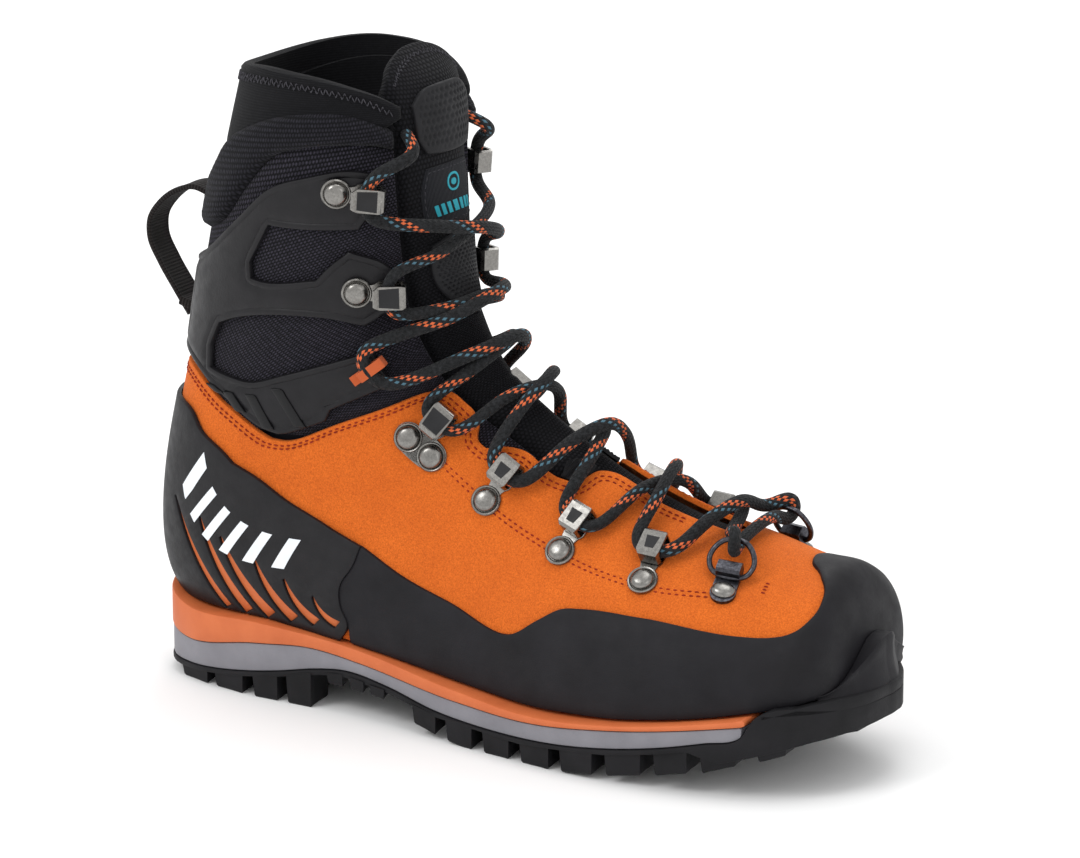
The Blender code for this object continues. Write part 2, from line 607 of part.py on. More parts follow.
def lug_outlines():
    """The lugs in plan: a row along each edge, a bar behind the heel and chevrons between."""
    lugs = [[(-151, -13), (-151, 13), (-143, 15), (-143, -15)]]
    rows = [(-139, -126, 13), (-121, -108, 13), (-102, -92, 14), (-87, -77, 15), (-69, -63, 8),
            (-59, -53, 8), (-49, -43, 8), (-28, -18, 13), (-12, -1, 14), (5, 16, 15),
            (22, 34, 16), (40, 53, 17), (59, 72, 17), (78, 90, 16), (96, 107, 15), (115, 123, 12)]
    for start, end, reach in rows:
        for column, inward in ((1, 1), (2, -1)):
            a, b = (edge_y(x, column) + inward * 1.0 for x in (start, end))
            lugs.append([(start, a), (end, b), (end - 2, b + inward * reach),
                         (start + 2, a + inward * reach)])
    for x in (-9, 15, 39, 64, 88):
        lugs.append([(x - 8, -17), (x + 1, -20), (x + 10, -4), (x + 10, 3), (x + 1, 10),
                     (x - 8, 8), (x + 1, -3)])
    for x in (-112, -90):
        lugs.append([(x - 6, -10), (x + 4, -12), (x + 8, 0), (x + 4, 12), (x - 6, 10), (x, 0)])
    lugs.append([(127, -20), (137, -13), (138.5, 4), (135, 17), (128, 18), (127, 2)])
    return [np.array(lug, float) for lug in lugs]


def outsole():
    """A rubber plate whose underside steps down to the ground inside each lug."""
    outer, inner = sole_sides(-155, 143.5, 0.0, (WEDGE_LOW,))
    outline = np.concatenate([outer, inner[::-1]])
    lugs = lug_outlines()
    across = [np.array(pair) for pair in zip(outer[1:-1], inner[1:-1])]
    flat, faces = triangulate([outline], 24.0, lugs + across)
    centre = flat[faces].mean(1)
    owner = np.full(len(faces), -1)
    for i, lug in enumerate(lugs):
        owner[inside(centre, lug)] = i
    x = flat[:, 0]
    n = len(flat)
    levels = [wedge_low(x) - 0.2, tread(x), ground(x)]
    points = np.concatenate([np.column_stack([flat, z]) for z in levels])
    solid = [tuple(f) for f in faces]
    solid += [tuple(k + n * (2 if o >= 0 else 1) for k in f[::-1]) for f, o in zip(faces, owner)]
    at_edge = {(f[k], f[(k + 1) % 3]): o for f, o in zip(faces.tolist(), owner) for k in range(3)}
    for (a, b), o in at_edge.items():
        other = at_edge.get((b, a))
        if other is None:
            solid.append((a, b, b + n, a + n))
        elif o >= 0 and other != o:
            solid.append((a + n, b + n, b + 2 * n, a + 2 * n))
    add("outsole", points, solid, material(*RUBBER), smooth=False)


def insides():
    slab("insole_board", *foot_sides(0.06, 0.63, -8.4, 1.5), lambda x: feather(x) + 2.0,
         lambda x: feather(x) + 3.6, material(*BOARD))
    slab("footbed", *foot_sides(0.065, 0.60, -9.6, 3.5), lambda x: feather(x) + 4.0,
         lambda x: feather(x) + 8.0, material(*LINING))
    x = np.linspace(-115, 45, 12)
    outer, inner = (np.column_stack([x, np.full(12, y)]) for y in (-11, 11))
    slab("shank", outer, inner, lambda x: feather(x) + 0.4, lambda x: feather(x) + 1.5,
         material(*STEEL))


# ---- hardware ----
RIVET = [(0, 1.6), (5.0, 1.6), (5.0, 2.4), (3.2, 3.4), (0, 3.7)]
HOOK = [(-6, 0), (16.8, 0), (17.9, 1.1), (17.9, 6.9), (16.8, 8.0), (8.0, 8.0), (6.6, 9.2),
        (6.0, 8.4), (7.4, 6.8), (16.2, 6.8), (16.7, 6.3), (16.7, 1.7), (16.2, PLATE_T),
        (-6, PLATE_T)]
EYELET = [(-6, 0), (16.8, 0), (17.9, 1.1), (17.9, 6.9), (16.8, 8.0), (8.0, 8.0), (6.9, 6.9),
          (6.9, 1.8), (8.1, 1.8), (8.1, 6.3), (8.6, 6.8), (16.2, 6.8), (16.7, 6.3),
          (16.7, 1.7), (16.2, PLATE_T), (-6, PLATE_T)]
CLIP = [[(-5.5, 0), (10.2, 0), (11.4, 1.2), (11.4, 4.8), (10.4, 5.8), (6.8, 5.8), (5.8, 4.8),
         (5.8, 1.4), (-5.5, 1.4)], [(7.2, 1.6), (10.0, 1.6), (10.0, 4.4), (7.2, 4.4)]]
RING_BAR = (8.6, 3.0)
RING_TILT = math.radians(27)
# name, rivet and hook end in u and v, height of the plate's underside over the last
STATIONS = [
    ("toe_clip", (0.143, 0.187), (0.113, 0.190), -1.1),
    ("eyelet_lower", (0.162, 0.293), (0.122, 0.298), -1.1),
    ("eyelet_middle", (0.177, 0.395), (0.137, 0.393), -1.1),
    ("eyelet_upper", (0.173, 0.491), (0.138, 0.494), -1.1),
    ("ankle_hook", (0.160, 0.586), (0.128, 0.597), -0.5),
    ("ankle_loop", (0.178, 0.707), (0.148, 0.711), 1.6),
    ("cuff_hook_lower", (0.160, 0.817), (0.118, 0.794), 1.6),
    ("cuff_hook_upper", (0.180, 0.930), (0.137, 0.920), 1.6),
]
SIDES = (("outer", 1), ("inner", -1))


def station_frame(station, side):
    """Origin at the rivet, then unit vectors along the plate, across it and out of the boot."""
    _, (u0, v0), (u1, v1), base = station
    middle_u, middle_v = side * (u0 + u1) / 2, (v0 + v1) / 2
    above = outward(middle_u, middle_v)
    start, end = last(side * u0, v0), last(side * u1, v1)
    along = end - start - above * ((end - start) @ above)
    along /= np.linalg.norm(along)
    across = np.cross(above, along)
    if across @ (last(middle_u, middle_v + 0.01) - last(middle_u, middle_v)) < 0:
        across = -across
    touch = on_last(middle_u, middle_v, base)
    origin = start + above * ((touch - start) @ above)
    return origin, along, across, above


def in_frame(frame, along, across, above):
    return frame[0] + frame[1] * along + frame[2] * across + frame[3] * above


def hardware():
    metal = material(*NICKEL)
    for station in STATIONS:
        name = station[0]
        for word, side in SIDES:
            frame = station_frame(station, side)
            full = name + "_" + word
            if name == "toe_clip":
                toe_clip(full, word, frame)
            elif name == "ankle_loop":
                profile_solid(full, frame, [EYELET], 6.0, material(*WEBBING_ORANGE))
            elif name == "ankle_hook":
                hook = profile_solid(full, frame, [HOOK], PLATE_W, metal)
                base = [(-5.6, 0.1), (6.4, 0.1), (6.4, PLATE_T - 0.1), (-5.6, PLATE_T - 0.1)]
                unite(hook, profile_solid(full + "_base", frame, [base], 21.0, metal))
                for end, across in (("low", -5.5), ("high", 5.5)):
                    turned(f"ankle_rivet_{end}_{word}", frame, (0, across), RIVET, metal)
            else:
                shape = HOOK if "hook" in name else EYELET
                profile_solid(full, frame, [shape], PLATE_W, metal)
                turned("rivet_" + full, frame, (0, 0), RIVET, metal)


def toe_clip(full, word, frame):
    dark = material(*GUNMETAL)
    clip = profile_solid(full, frame, CLIP, PLATE_W, dark)
    dome = [(0, 0.4), (4.6, 0.4), (4.6, 2.4), (3.0, 3.2), (0, 3.5)]
    unite(clip, turned(full + "_dome", frame, (0, 0), dome, dark))
    out, up = math.cos(RING_TILT), math.sin(RING_TILT)
    shape = [(0, -7.2), (0, 7.2), (3, 8.2), (7, 7.2), (10.4, 4), (11.2, 0), (10.4, -4),
             (7, -7.2), (3, -8.2)]
    points = [in_frame(frame, RING_BAR[0] + d * out, a, RING_BAR[1] + d * up) for d, a in shape]
    tube("d_ring_" + word, points, 2.0, dark, closed=True)


def lace():
    """One lace: across the toe rings, then criss-cross through every pair to the top hooks."""
    def nearest_v(u, point):
        places = np.linspace(0.15, 1.0, 500)
        return places[np.argmin(np.linalg.norm(last(u, places) - point, axis=1))]

    def strand(side, height):
        """From the ring on one side up to its tail. The height is that of its crossings."""
        ring = station_frame(STATIONS[0], side)
        points = [in_frame(ring, 21.5, 0, 3.2), in_frame(ring, 15.6, 0, 4.4),
                  in_frame(ring, 13.6, 0, 8.6), in_frame(ring, 18.6, 0, 12.9)]
        for station in STATIONS[1:]:
            frame = station_frame(station, -side)
            start, end = points[-1], in_frame(frame, LACE_T, -8.2, LACE_N)
            for share, u, above in ((0.28, 0.065, (height + 5) / 2), (0.5, 0.0, height),
                                    (0.72, -0.065, (height + 5) / 2)):
                v = nearest_v(side * u, start + (end - start) * share)
                points.append(on_last(side * u, v, above))
            points += [end, in_frame(frame, LACE_T, 8.2, LACE_N)]
            side = -side
        return points + [on_last(side * 0.086, 0.958, 6.0), on_last(side * 0.085, 0.955, -4.6)]
    bar = [on_last(0.0, 0.196, 3.6)]
    tube("lace", strand(1, 2.4)[::-1] + bar + strand(-1, 8.0), LACE_D, material(*LACE))


def pull_loop():
    """A webbing handle behind the cuff."""
    path = [(-146, 183.5), (-154, 181.2), (-161.2, 175.8), (-165.8, 169), (-166, 162),
            (-161.5, 153), (-155, 143.5)]
    path = np.array([LOOP_TOP[[0, 2]], *path, LOOP_END[[0, 2]]])
    along = np.gradient(path, axis=0)
    normal = np.column_stack([-along[:, 1], along[:, 0]])
    normal /= np.linalg.norm(normal, axis=1, keepdims=True)
    rings = []
    for (x, z), (nx, nz) in zip(path, normal):
        for y, half in ((-6, -1), (6, -1), (6, 1), (-6, 1)):
            rings.append((x + nx * half, y, z + nz * half))
    n = len(path)
    faces = [(0, 1, 2, 3), tuple(4 * (n - 1) + k for k in (3, 2, 1, 0))]
    for i in range(n - 1):
        for k in range(4):
            j = (k + 1) % 4
            faces.append((4 * i + k, 4 * i + 4 + k, 4 * i + 4 + j, 4 * i + j))
    add("pull_loop", rings, faces, material(*WEBBING))


def hang(name, place, nodes):
    """Parents nodes to an empty on their joint's axis, leaving them where they are."""
    pivot = bpy.data.objects.new(name, None)
    pivot.location = (np.asarray(place, float) + SHIFT) * MM
    bpy.context.scene.collection.objects.link(pivot)
    bpy.context.view_layer.update()
    for node in nodes:
        obj = bpy.data.objects[node]
        obj.parent = pivot
        obj.matrix_parent_inverse = pivot.matrix_world.inverted()
    return pivot


def joints():
    """The moving groups: the cuff on the ankle line, the rings, the pull loop and the footbed."""
    cuff_nodes = ["cuff_shell", "exo_cage", "collar_roll", "sock_collar", "collar_hem",
                  "tongue_upper", "tongue_pad_lower", "tongue_label", "tongue_pad_top"]
    cuff_nodes += [obj.name for obj in bpy.data.objects if "cuff_hook" in obj.name]
    ankle = hang("ankle_axis", ANKLE_AXIS, cuff_nodes)
    for word, side in SIDES:
        frame = station_frame(STATIONS[0], side)
        hang("ring_axis_" + word, in_frame(frame, RING_BAR[0], 0, RING_BAR[1]), ["d_ring_" + word])
    loop = hang("loop_axis", (LOOP_TOP + LOOP_END) / 2, ["pull_loop"])
    loop.parent = ankle
    loop.matrix_parent_inverse = ankle.matrix_world.inverted()
    hang("footbed_axis", FOOTBED_AXIS, ["footbed"])


for build in (outsole, midsole, toe_protection, insides, suede_upper, rand, heel_cage, stiffeners,
              lining_lower, tongue_lower, ankle_gusset, cuff, sock_collar, tongue_upper, hardware,
              pull_loop, lace, joints):
    build()
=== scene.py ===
"""Looks of the mountaineering boot: fine pieces laid on the CAD's last, and their materials.

Lengths are in millimetres in the last's own frame until mesh_piece() moves them by SHIFT and
scales them to metres. A place on the upper is u (0 top or shin, 0.25 outer, 0.5 sole or heel, 0.75
inner side) and v (0 toe tip, 1 rim), and a depth outside (+) or inside (-) the last.
"""

import json
import math

import bmesh
import bpy
import numpy as np
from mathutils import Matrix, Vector
from mathutils.geometry import delaunay_2d_cdt
from mathutils.kdtree import KDTree

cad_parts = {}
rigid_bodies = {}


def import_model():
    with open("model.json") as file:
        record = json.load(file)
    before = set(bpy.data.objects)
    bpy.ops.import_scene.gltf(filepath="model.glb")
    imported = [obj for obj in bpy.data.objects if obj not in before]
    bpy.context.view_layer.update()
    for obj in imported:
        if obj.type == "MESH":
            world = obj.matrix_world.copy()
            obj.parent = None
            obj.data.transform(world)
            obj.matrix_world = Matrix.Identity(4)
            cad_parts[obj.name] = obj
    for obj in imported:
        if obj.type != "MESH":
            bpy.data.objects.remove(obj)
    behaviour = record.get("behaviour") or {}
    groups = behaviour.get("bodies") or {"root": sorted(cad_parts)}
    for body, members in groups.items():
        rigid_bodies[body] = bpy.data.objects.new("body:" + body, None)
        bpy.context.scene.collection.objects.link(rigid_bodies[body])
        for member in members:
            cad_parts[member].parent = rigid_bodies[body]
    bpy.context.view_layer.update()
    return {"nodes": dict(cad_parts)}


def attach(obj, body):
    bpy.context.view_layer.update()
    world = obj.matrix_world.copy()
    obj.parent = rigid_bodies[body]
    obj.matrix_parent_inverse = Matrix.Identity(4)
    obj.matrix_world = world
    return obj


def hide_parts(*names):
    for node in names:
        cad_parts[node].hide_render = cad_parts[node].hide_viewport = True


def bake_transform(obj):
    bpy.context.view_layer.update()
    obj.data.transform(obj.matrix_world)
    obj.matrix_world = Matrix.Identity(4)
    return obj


for old in list(bpy.data.objects):
    bpy.data.objects.remove(old)
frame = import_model()

MM = 0.001
SHIFT = np.array([11.7, 4.6, 0.0])      # from the last's frame to the CAD's
U_LENGTH = 340.0                        # rough length once round a section
BACK = 0.4985                           # u of the back seam
TOE_END = 0.018                         # v where panels stop under the toe bumper
FLEX_LOW = 117.0                        # height above which the CAD's ankle bends
LIFT = 0.6                              # gap between the upper's lower edge and the sole
PLATE_T = 1.2                           # thickness of a hook's or an eyelet's metal
EDGE_ANGLE = math.radians(50)           # hardware edges that turn more than this are bevelled
RIVET_PLATE_R = 5.6                     # radius of the plate round a rivet
LACE_T, LACE_N = 12.3, 4.0              # lace centre in a hook, along and above its plate
LACE_SPAN = 6.6                         # how far to each side of a hook the lace's points lie
LACE_D = 4.6                            # thickness of the lace
LACE_OVAL = (1.06, 0.94)                # its width and its height, as shares of that
LACE_AROUND = math.pi * LACE_D
LACE_STEP = 0.8                         # spacing of points along the lace
LACE_EASE = 19                          # points of the lace over which a bend is opened
LACE_TURN = 27.0                        # length of the braid in which a strand goes once round
D_RING_WIRE = 1.0                       # radius of a ring's wire
STEP = 1.5                              # spacing of points along a panel's edge
THREAD_SIDES = 6
THREAD_HUMP = (-0.55, 0.12, 0.3, 0.12, -0.55)   # a stitch's rise along it, in thread thicknesses
QUAD = ((-1, -1), (1, -1), (1, 1), (-1, 1))
# the sleeves' middle lines in x and z, one end in the cuff's padding and one over the handle's end
SLEEVE_TOP = [(-132.6, 180.0), (-136.4, 181.0), (-140.4, 182.0)]
SLEEVE_LOW = [(-152.6, 139.4), (-148.5, 138.2), (-141.4, 138.0)]

# v, then x and z of the sole or heel edge and x and z of the top or shin edge
SPINE = [
    (0.00, 134, 30, 134, 36), (0.04, 132, 29, 129.5, 65), (0.10, 120, 20, 115, 75),
    (0.18, 96, 13, 92, 81), (0.27, 60, 8, 70, 87), (0.36, 20, 7, 45, 96),
    (0.45, -32, 12, 21, 108), (0.54, -92, 20, 1, 121), (0.62, -142, 26, -14, 134),
    (0.68, -157, 46, -21, 145), (0.74, -156, 78, -27, 158), (0.81, -148, 112, -30, 173),
    (0.88, -141, 146, -32, 190), (0.94, -133, 184, -34, 210), (1.00, -120, 234, -38, 234),
    (1.06, -112, 256, -55, 253),
]
# v, half width on the outer side and on the inner side
HALF_WIDTH = [
    (0.0, 1, 1), (0.04, 30, 27), (0.10, 44, 38), (0.18, 52, 43), (0.27, 53, 44),
    (0.36, 48, 41), (0.45, 41, 38), (0.54, 38, 37), (0.62, 37, 36), (0.74, 38, 37),
    (0.85, 40, 39), (1.06, 43, 42),
]
# v, sideways offset of the middle at the bottom and at the top
MIDDLE = [(0.0, 4, 4), (0.10, 4, 6), (0.27, 0, 5), (0.45, 0, 4), (0.62, 0, 2), (1.06, 0, 0)]
# v, share of the height where it is widest, squareness of the bottom, squareness of the top
FORM = [
    (0.0, 0.45, 2.2, 2.0), (0.10, 0.34, 3.2, 2.0), (0.27, 0.30, 4.5, 1.6),
    (0.45, 0.30, 4.5, 1.6), (0.56, 0.38, 3.4, 1.7), (0.66, 0.48, 2.6, 1.9),
    (0.80, 0.50, 2.4, 2.2), (1.06, 0.52, 2.4, 2.3),
]
# x, y of the outer edge and of the inner edge of the sole
SOLE = [
    (-155, -2, 2), (-152, -15, 15), (-146, -24, 24), (-135, -31, 31), (-105, -37, 36),
    (-60, -38, 34), (-10, -48, 37), (50, -57, 46), (95, -54, 45), (120, -45, 37),
    (134, -31, 26), (141, -16, 15), (143.5, 2, 8),
]
# x and height of: the line where the upper meets the sole, the frame's lower line, the wedge's
# lower line, and the bottom of the lugs
FEATHER = [(-155, 34), (-138, 29.5), (-98, 29.5), (-54, 26), (-7, 21), (22, 19), (57, 21.5),
           (88, 26.2), (114, 30.8), (130, 35), (150, 35)]
FRAME_LOW = [(-155, 19), (-138, 16.2), (-100, 21.2), (-80, 23), (-56, 20.9), (-7, 16.5),
             (22, 15.8), (57, 19.2), (92, 24.4), (112, 27.4), (150, 32)]
WEDGE_LOW = [(-155, 6), (-138, 6.4), (-112, 8.5), (-92, 11.8), (-74, 15.4), (-64, 16.6),
             (-42, 14.8), (-19, 11), (22, 9.6), (58, 12.6), (80, 16.4), (96, 19.9),
             (109, 23), (113.5, 30.4), (150, 30.4)]
GROUND = [(-155, 1.6), (-143, 0), (-76, 0), (-71, 10.6), (-44, 10), (-29, 4), (-11, 0.6),
          (-6, 0), (36, 0), (61, 2.8), (79, 5.8), (96, 9.1), (130, 18.5), (150, 22)]

# v and its distance along the unrolled sheet, stretched where the toe and the heel curve most
UNROLL = [(0.0, 0), (0.1, 72), (0.58, 262), (0.70, 340), (1.06, 485)]


# ---- curves and the last ----
def spline(knots):
    """A natural cubic through (position, value, ...) knots."""
    table = np.array(knots, float)
    x, y = table[:, 0], table[:, 1:]
    n, h = len(x), np.diff(x)
    a = np.eye(n)
    b = np.zeros((n, y.shape[1]))
    for i in range(1, n - 1):
        a[i, i - 1:i + 2] = h[i - 1], 2 * (h[i - 1] + h[i]), h[i]
        b[i] = 6 * ((y[i + 1] - y[i]) / h[i] - (y[i] - y[i - 1]) / h[i - 1])
    m = np.linalg.solve(a, b)

    def at(t):
        t = np.asarray(t, float)
        i = np.clip(np.searchsorted(x, t) - 1, 0, n - 2)
        width, low, high = h[i][..., None], (x[i + 1] - t)[..., None], (t - x[i])[..., None]
        bend = (m[i] * low**3 + m[i + 1] * high**3) / (6 * width)
        start = (y[i] / width - m[i] * width / 6) * low
        return bend + start + (y[i + 1] / width - m[i + 1] * width / 6) * high
    return at


def heights(table):
    """A height that changes in straight lines between (x, z) pairs."""
    x, z = np.array(table, float).T
    return lambda at: np.interp(at, x, z)


spine, half_width, middle, form = map(spline, (SPINE, HALF_WIDTH, MIDDLE, FORM))
feather = heights(FEATHER)


def last(u, v):
    """Points of the last."""
    u, v = np.broadcast_arrays(np.asarray(u, float), np.asarray(v, float))
    edge, wide, mid, shape = spine(v), half_width(v), middle(v), form(v)
    top = (1 + np.cos(2 * np.pi * u)) / 2
    share = np.clip(top, 1e-9, 1) ** (math.log(0.5) / np.log(shape[..., 0]))
    square = shape[..., 1] * (1 - share) + shape[..., 2] * share
    bulge = np.clip(1 - (1 - 2 * share) ** 2, 0, 1) ** (1 / square)
    outer = (u % 1) < 0.5
    reach = np.where(outer, -wide[..., 0], wide[..., 1]) * bulge
    x = edge[..., 0] * (1 - top) + edge[..., 2] * top
    z = edge[..., 1] * (1 - top) + edge[..., 3] * top
    return np.stack([x, mid[..., 0] * (1 - top) + mid[..., 1] * top + reach, z], -1)


def outward(u, v):
    """Unit normals of the last, pointing out."""
    step = 0.004
    along_u = last(u + step, v) - last(u - step, v)
    along_v = last(u, v + step) - last(u, np.maximum(v - step, 0))
    n = np.cross(along_v, along_u)
    return n / np.linalg.norm(n, axis=-1, keepdims=True)


def on_last(u, v, depth):
    """Points a depth outside (+) or inside (-) the last."""
    u, v = np.asarray(u, float), np.asarray(v, float)
    return last(u, v) + outward(u, v) * np.asarray(depth, float)[..., None]


def unrolled(points):
    """Chart points laid flat, in millimetres."""
    u, v = np.asarray(points, float).T
    return np.column_stack([u * U_LENGTH, np.interp(v, *zip(*UNROLL))])


def rolled(flat):
    """u and v of flat points."""
    v, length = zip(*UNROLL)
    return flat[:, 0] / U_LENGTH, np.interp(flat[:, 1], length, v)


def bisect(f, low, high):
    """Where the rising function f crosses zero."""
    for _ in range(40):
        mid = (low + high) / 2
        low, high = (mid, high) if f(mid) < 0 else (low, mid)
    return low


def feather_u(v, lift=LIFT):
    """u where the last comes down to the sole. Both sides share it."""
    def below(u):
        x, _, z = last(u, v)
        return feather(x) + lift - z
    return bisect(below, 0.0, 0.5)


def v_at_height(u, z):
    return bisect(lambda v: last(u, v)[2] - z, 0.40 if abs(u) < 0.25 else 0.64, 1.05)


def ring_edge(z, start, end, count=14):
    """Chart points along one height of the shaft."""
    return [(u, v_at_height(u, z)) for u in np.linspace(start, end, count)]


def heel_v(lift=LIFT):
    """v where the back of the heel comes down to the sole."""
    def above(v):
        x, _, z = last(0.5, v)
        return z - feather(x) - lift
    return bisect(above, 0.6, 0.72)


def lower_edge(first_v, last_v, count=18, lift=LIFT):
    """Chart points along the sole."""
    return [(feather_u(v, lift), v) for v in np.linspace(first_v, last_v, count)]


def both_sides(half, middle_u=0.0):
    """An outline from its outer half, mirrored about the middle of the toe or of the heel."""
    other = [(2 * middle_u - u, v) for u, v in reversed(half)]
    return half + [p for p in other if abs(p[0] - middle_u) > 1e-6]


def inside(points, loop):
    """Which 2-D points lie inside a closed loop."""
    x, y = points[:, 0, None], points[:, 1, None]
    a, b = loop, np.roll(loop, -1, 0)
    spans = (a[:, 1] > y) != (b[:, 1] > y)
    with np.errstate(divide="ignore", invalid="ignore"):
        cross = a[:, 0] + (y - a[:, 1]) * (b[:, 0] - a[:, 0]) / (b[:, 1] - a[:, 1])
    return (spans & (x < cross)).sum(1) % 2 == 1


# ---- outlines of the upper, outer half, in u and v ----
FLOOR_BACK = [(BACK, heel_v() + 0.004), *lower_edge(heel_v() - 0.003, TOE_END, 22)]
FACING = [(0.0, 0.205), (0.04, 0.235), (0.047, 0.293), (0.052, 0.34), (0.047, 0.37),
          (0.052, 0.40), (0.065, 0.415), (0.10, 0.425), (0.108, 0.45), (0.106, 0.505),
          (0.113, 0.52), (0.127, 0.535), (0.125, 0.548), (0.107, 0.567), (0.10, 0.60),
          (0.104, 0.625)]
SUEDE_TOP = [(0.118, 0.639), (0.162, 0.657), (0.202, 0.674), (0.24, 0.687), (0.258, 0.701),
             (0.307, 0.755), (0.388, 0.814), (BACK, 0.835)]
SEAM = [(0.268, 0.549), (0.29, 0.542), (0.315, 0.539), (0.342, 0.528), (0.365, 0.515)]
RAND_TOP = [(0.0, 0.118), (0.025, 0.113), (0.057, 0.089), (0.095, 0.07), (0.135, 0.067),
            (0.177, 0.08), (0.195, 0.11), (0.202, 0.156), (0.205, 0.273), (0.223, 0.345),
            (0.232, 0.363), (0.257, 0.382), (0.287, 0.401), (0.285, 0.459), (0.282, 0.501)]
CAGE_TOP = [(0.268, 0.555), (0.262, 0.582), (0.262, 0.629), (0.283, 0.684), (0.308, 0.715),
            (0.34, 0.745), (0.362, 0.768), (0.44, 0.796), (0.5, 0.803)]
# each slot of the cage: its sharp upper end, its wide lower end and its width there
SLASHES = [(0.385, 0.705, 0.405, 0.592, 3.8), (0.347, 0.676, 0.399, 0.577, 4.8),
           (0.332, 0.646, 0.393, 0.562, 5.2), (0.325, 0.606, 0.387, 0.547, 5.0),
           (0.332, 0.575, 0.380, 0.533, 4.4), (0.342, 0.548, 0.371, 0.520, 3.6)]
EXO = [(0.5, 0.845), (0.388, 0.823), (0.307, 0.764), (0.258, 0.71), (0.24, 0.696),
       (0.205, 0.684), (0.198, 0.692), (0.152, 0.68), (0.143, 0.688), (0.15, 0.728),
       (0.173, 0.735), (0.238, 0.755), (0.272, 0.765), (0.302, 0.783), (0.338, 0.805),
       (0.343, 0.827), (0.33, 0.845), (0.307, 0.844), (0.197, 0.801), (0.152, 0.763),
       (0.13, 0.768), (0.115, 0.817), (0.13, 0.841), (0.167, 0.87), (0.19, 0.861),
       (0.205, 0.851), (0.272, 0.871), (0.285, 0.877), (0.288, 0.891), (0.265, 0.917),
       (0.155, 0.89), (0.143, 0.901), (0.136, 0.932), (0.139, 0.939), (0.157, 0.943),
       (0.218, 0.945), (0.273, 0.941), (0.312, 0.928), (0.36, 0.914), (0.5, 0.908)]
ROLL_LOW = [(0.5, 0.924), (0.40, 0.924), (0.355, 0.928), (0.318, 0.944), (0.285, 0.957),
            (0.228, 0.962), (0.162, 0.960), (0.12, 0.955), (0.105, 0.951)]
ROLL_HIGH = [(0.105, 0.966), (0.118, 0.972), (0.162, 0.983), (0.232, 0.985), (0.315, 0.978),
             (0.382, 0.967), (0.413, 0.957), (0.5, 0.954)]


# name, rivet and hook end in u and v, height of the plate's underside over the last
STATIONS = [
    ("toe_clip", (0.143, 0.187), (0.113, 0.190), -1.1),
    ("eyelet_lower", (0.162, 0.293), (0.122, 0.298), -1.1),
    ("eyelet_middle", (0.177, 0.395), (0.137, 0.393), -1.1),
    ("eyelet_upper", (0.173, 0.491), (0.138, 0.494), -1.1),
    ("ankle_hook", (0.160, 0.586), (0.128, 0.597), -0.5),
    ("ankle_loop", (0.178, 0.707), (0.148, 0.711), 1.6),
    ("cuff_hook_lower", (0.160, 0.817), (0.118, 0.794), 1.6),
    ("cuff_hook_upper", (0.180, 0.930), (0.137, 0.920), 1.6),
]
SIDES = (("outer", 1), ("inner", -1))


def station_frame(station, side):
    """Origin at the rivet, then unit vectors along the plate, across it and out of the boot."""
    _, (u0, v0), (u1, v1), base = station
    middle_u, middle_v = side * (u0 + u1) / 2, (v0 + v1) / 2
    above = outward(middle_u, middle_v)
    start, end = last(side * u0, v0), last(side * u1, v1)
    along = end - start - above * ((end - start) @ above)
    along /= np.linalg.norm(along)
    across = np.cross(above, along)
    if across @ (last(middle_u, middle_v + 0.01) - last(middle_u, middle_v)) < 0:
        across = -across
    touch = on_last(middle_u, middle_v, base)
    origin = start + above * ((touch - start) @ above)
    return origin, along, across, above


def in_frame(base, along, across, above):
    return base[0] + base[1] * along + base[2] * across + base[3] * above


# ---- fine meshes ----
def mesh_piece(name, points, faces, finish, uv=None, sharp=35):
    """A mesh object from points of the last's frame, with a layer of flat millimetres for weaves."""
    mesh = bpy.data.meshes.new(name)
    mesh.from_pydata(((np.asarray(points, float) + SHIFT) * MM).tolist(), [], faces)
    if uv is not None:
        layer = mesh.uv_layers.new(name="flat")
        uv = np.asarray(uv, float)
        if len(uv) != len(mesh.loops):
            corner = np.empty(len(mesh.loops), int)
            mesh.loops.foreach_get("vertex_index", corner)
            uv = uv[corner]
        layer.data.foreach_set("uv", (uv * MM).ravel())
    work = bmesh.new()
    work.from_mesh(mesh)
    bmesh.ops.recalc_face_normals(work, faces=work.faces)
    work.to_mesh(mesh)
    work.free()
    mesh.shade_smooth()
    mesh.set_sharp_from_angle(angle=math.radians(sharp))
    mesh.materials.append(finish)
    obj = bpy.data.objects.new(name, mesh)
    bpy.context.scene.collection.objects.link(obj)
    return obj


def finished(obj, body, nodes=()):
    """Rides the piece on its body, or for the ankle leaves it unparented in world space, and hides
    the CAD nodes it stands for.
    """
    if body == "ankle":
        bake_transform(obj)
    else:
        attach(obj, body)
    if nodes:
        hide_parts(*nodes)
    return obj


class Track:
    """A line in space that gives distances to itself."""

    def __init__(self, points, closed=True):
        self.points = np.asarray(points, float)
        self.closed = closed
        self.tree = KDTree(len(self.points))
        for i, p in enumerate(self.points):
            self.tree.insert(p, i)
        self.tree.balance()

    def distance(self, where):
        n = len(self.points)
        near = np.array([self.tree.find(p)[1] for p in where])
        best = np.full(len(where), np.inf)
        for shift in (-1, 0):
            a, b = near + shift, near + shift + 1
            if self.closed:
                a, b = a % n, b % n
            else:
                a, b = np.clip(a, 0, n - 1), np.clip(b, 0, n - 1)
            start, run = self.points[a], self.points[b] - self.points[a]
            t = np.clip(((where - start) * run).sum(1) / np.maximum((run * run).sum(1), 1e-9), 0, 1)
            best = np.minimum(best, np.linalg.norm(where - start - run * t[:, None], axis=1))
        return best


def cubic(t, span, start, leaving, end, arriving):
    """Points between two ends with a direction at each, t from 0 to 1."""
    return ((2 * t**3 - 3 * t**2 + 1) * start + (t**3 - 2 * t**2 + t) * span * leaving
            + (3 * t**2 - 2 * t**3) * end + (t**3 - t**2) * span * arriving)


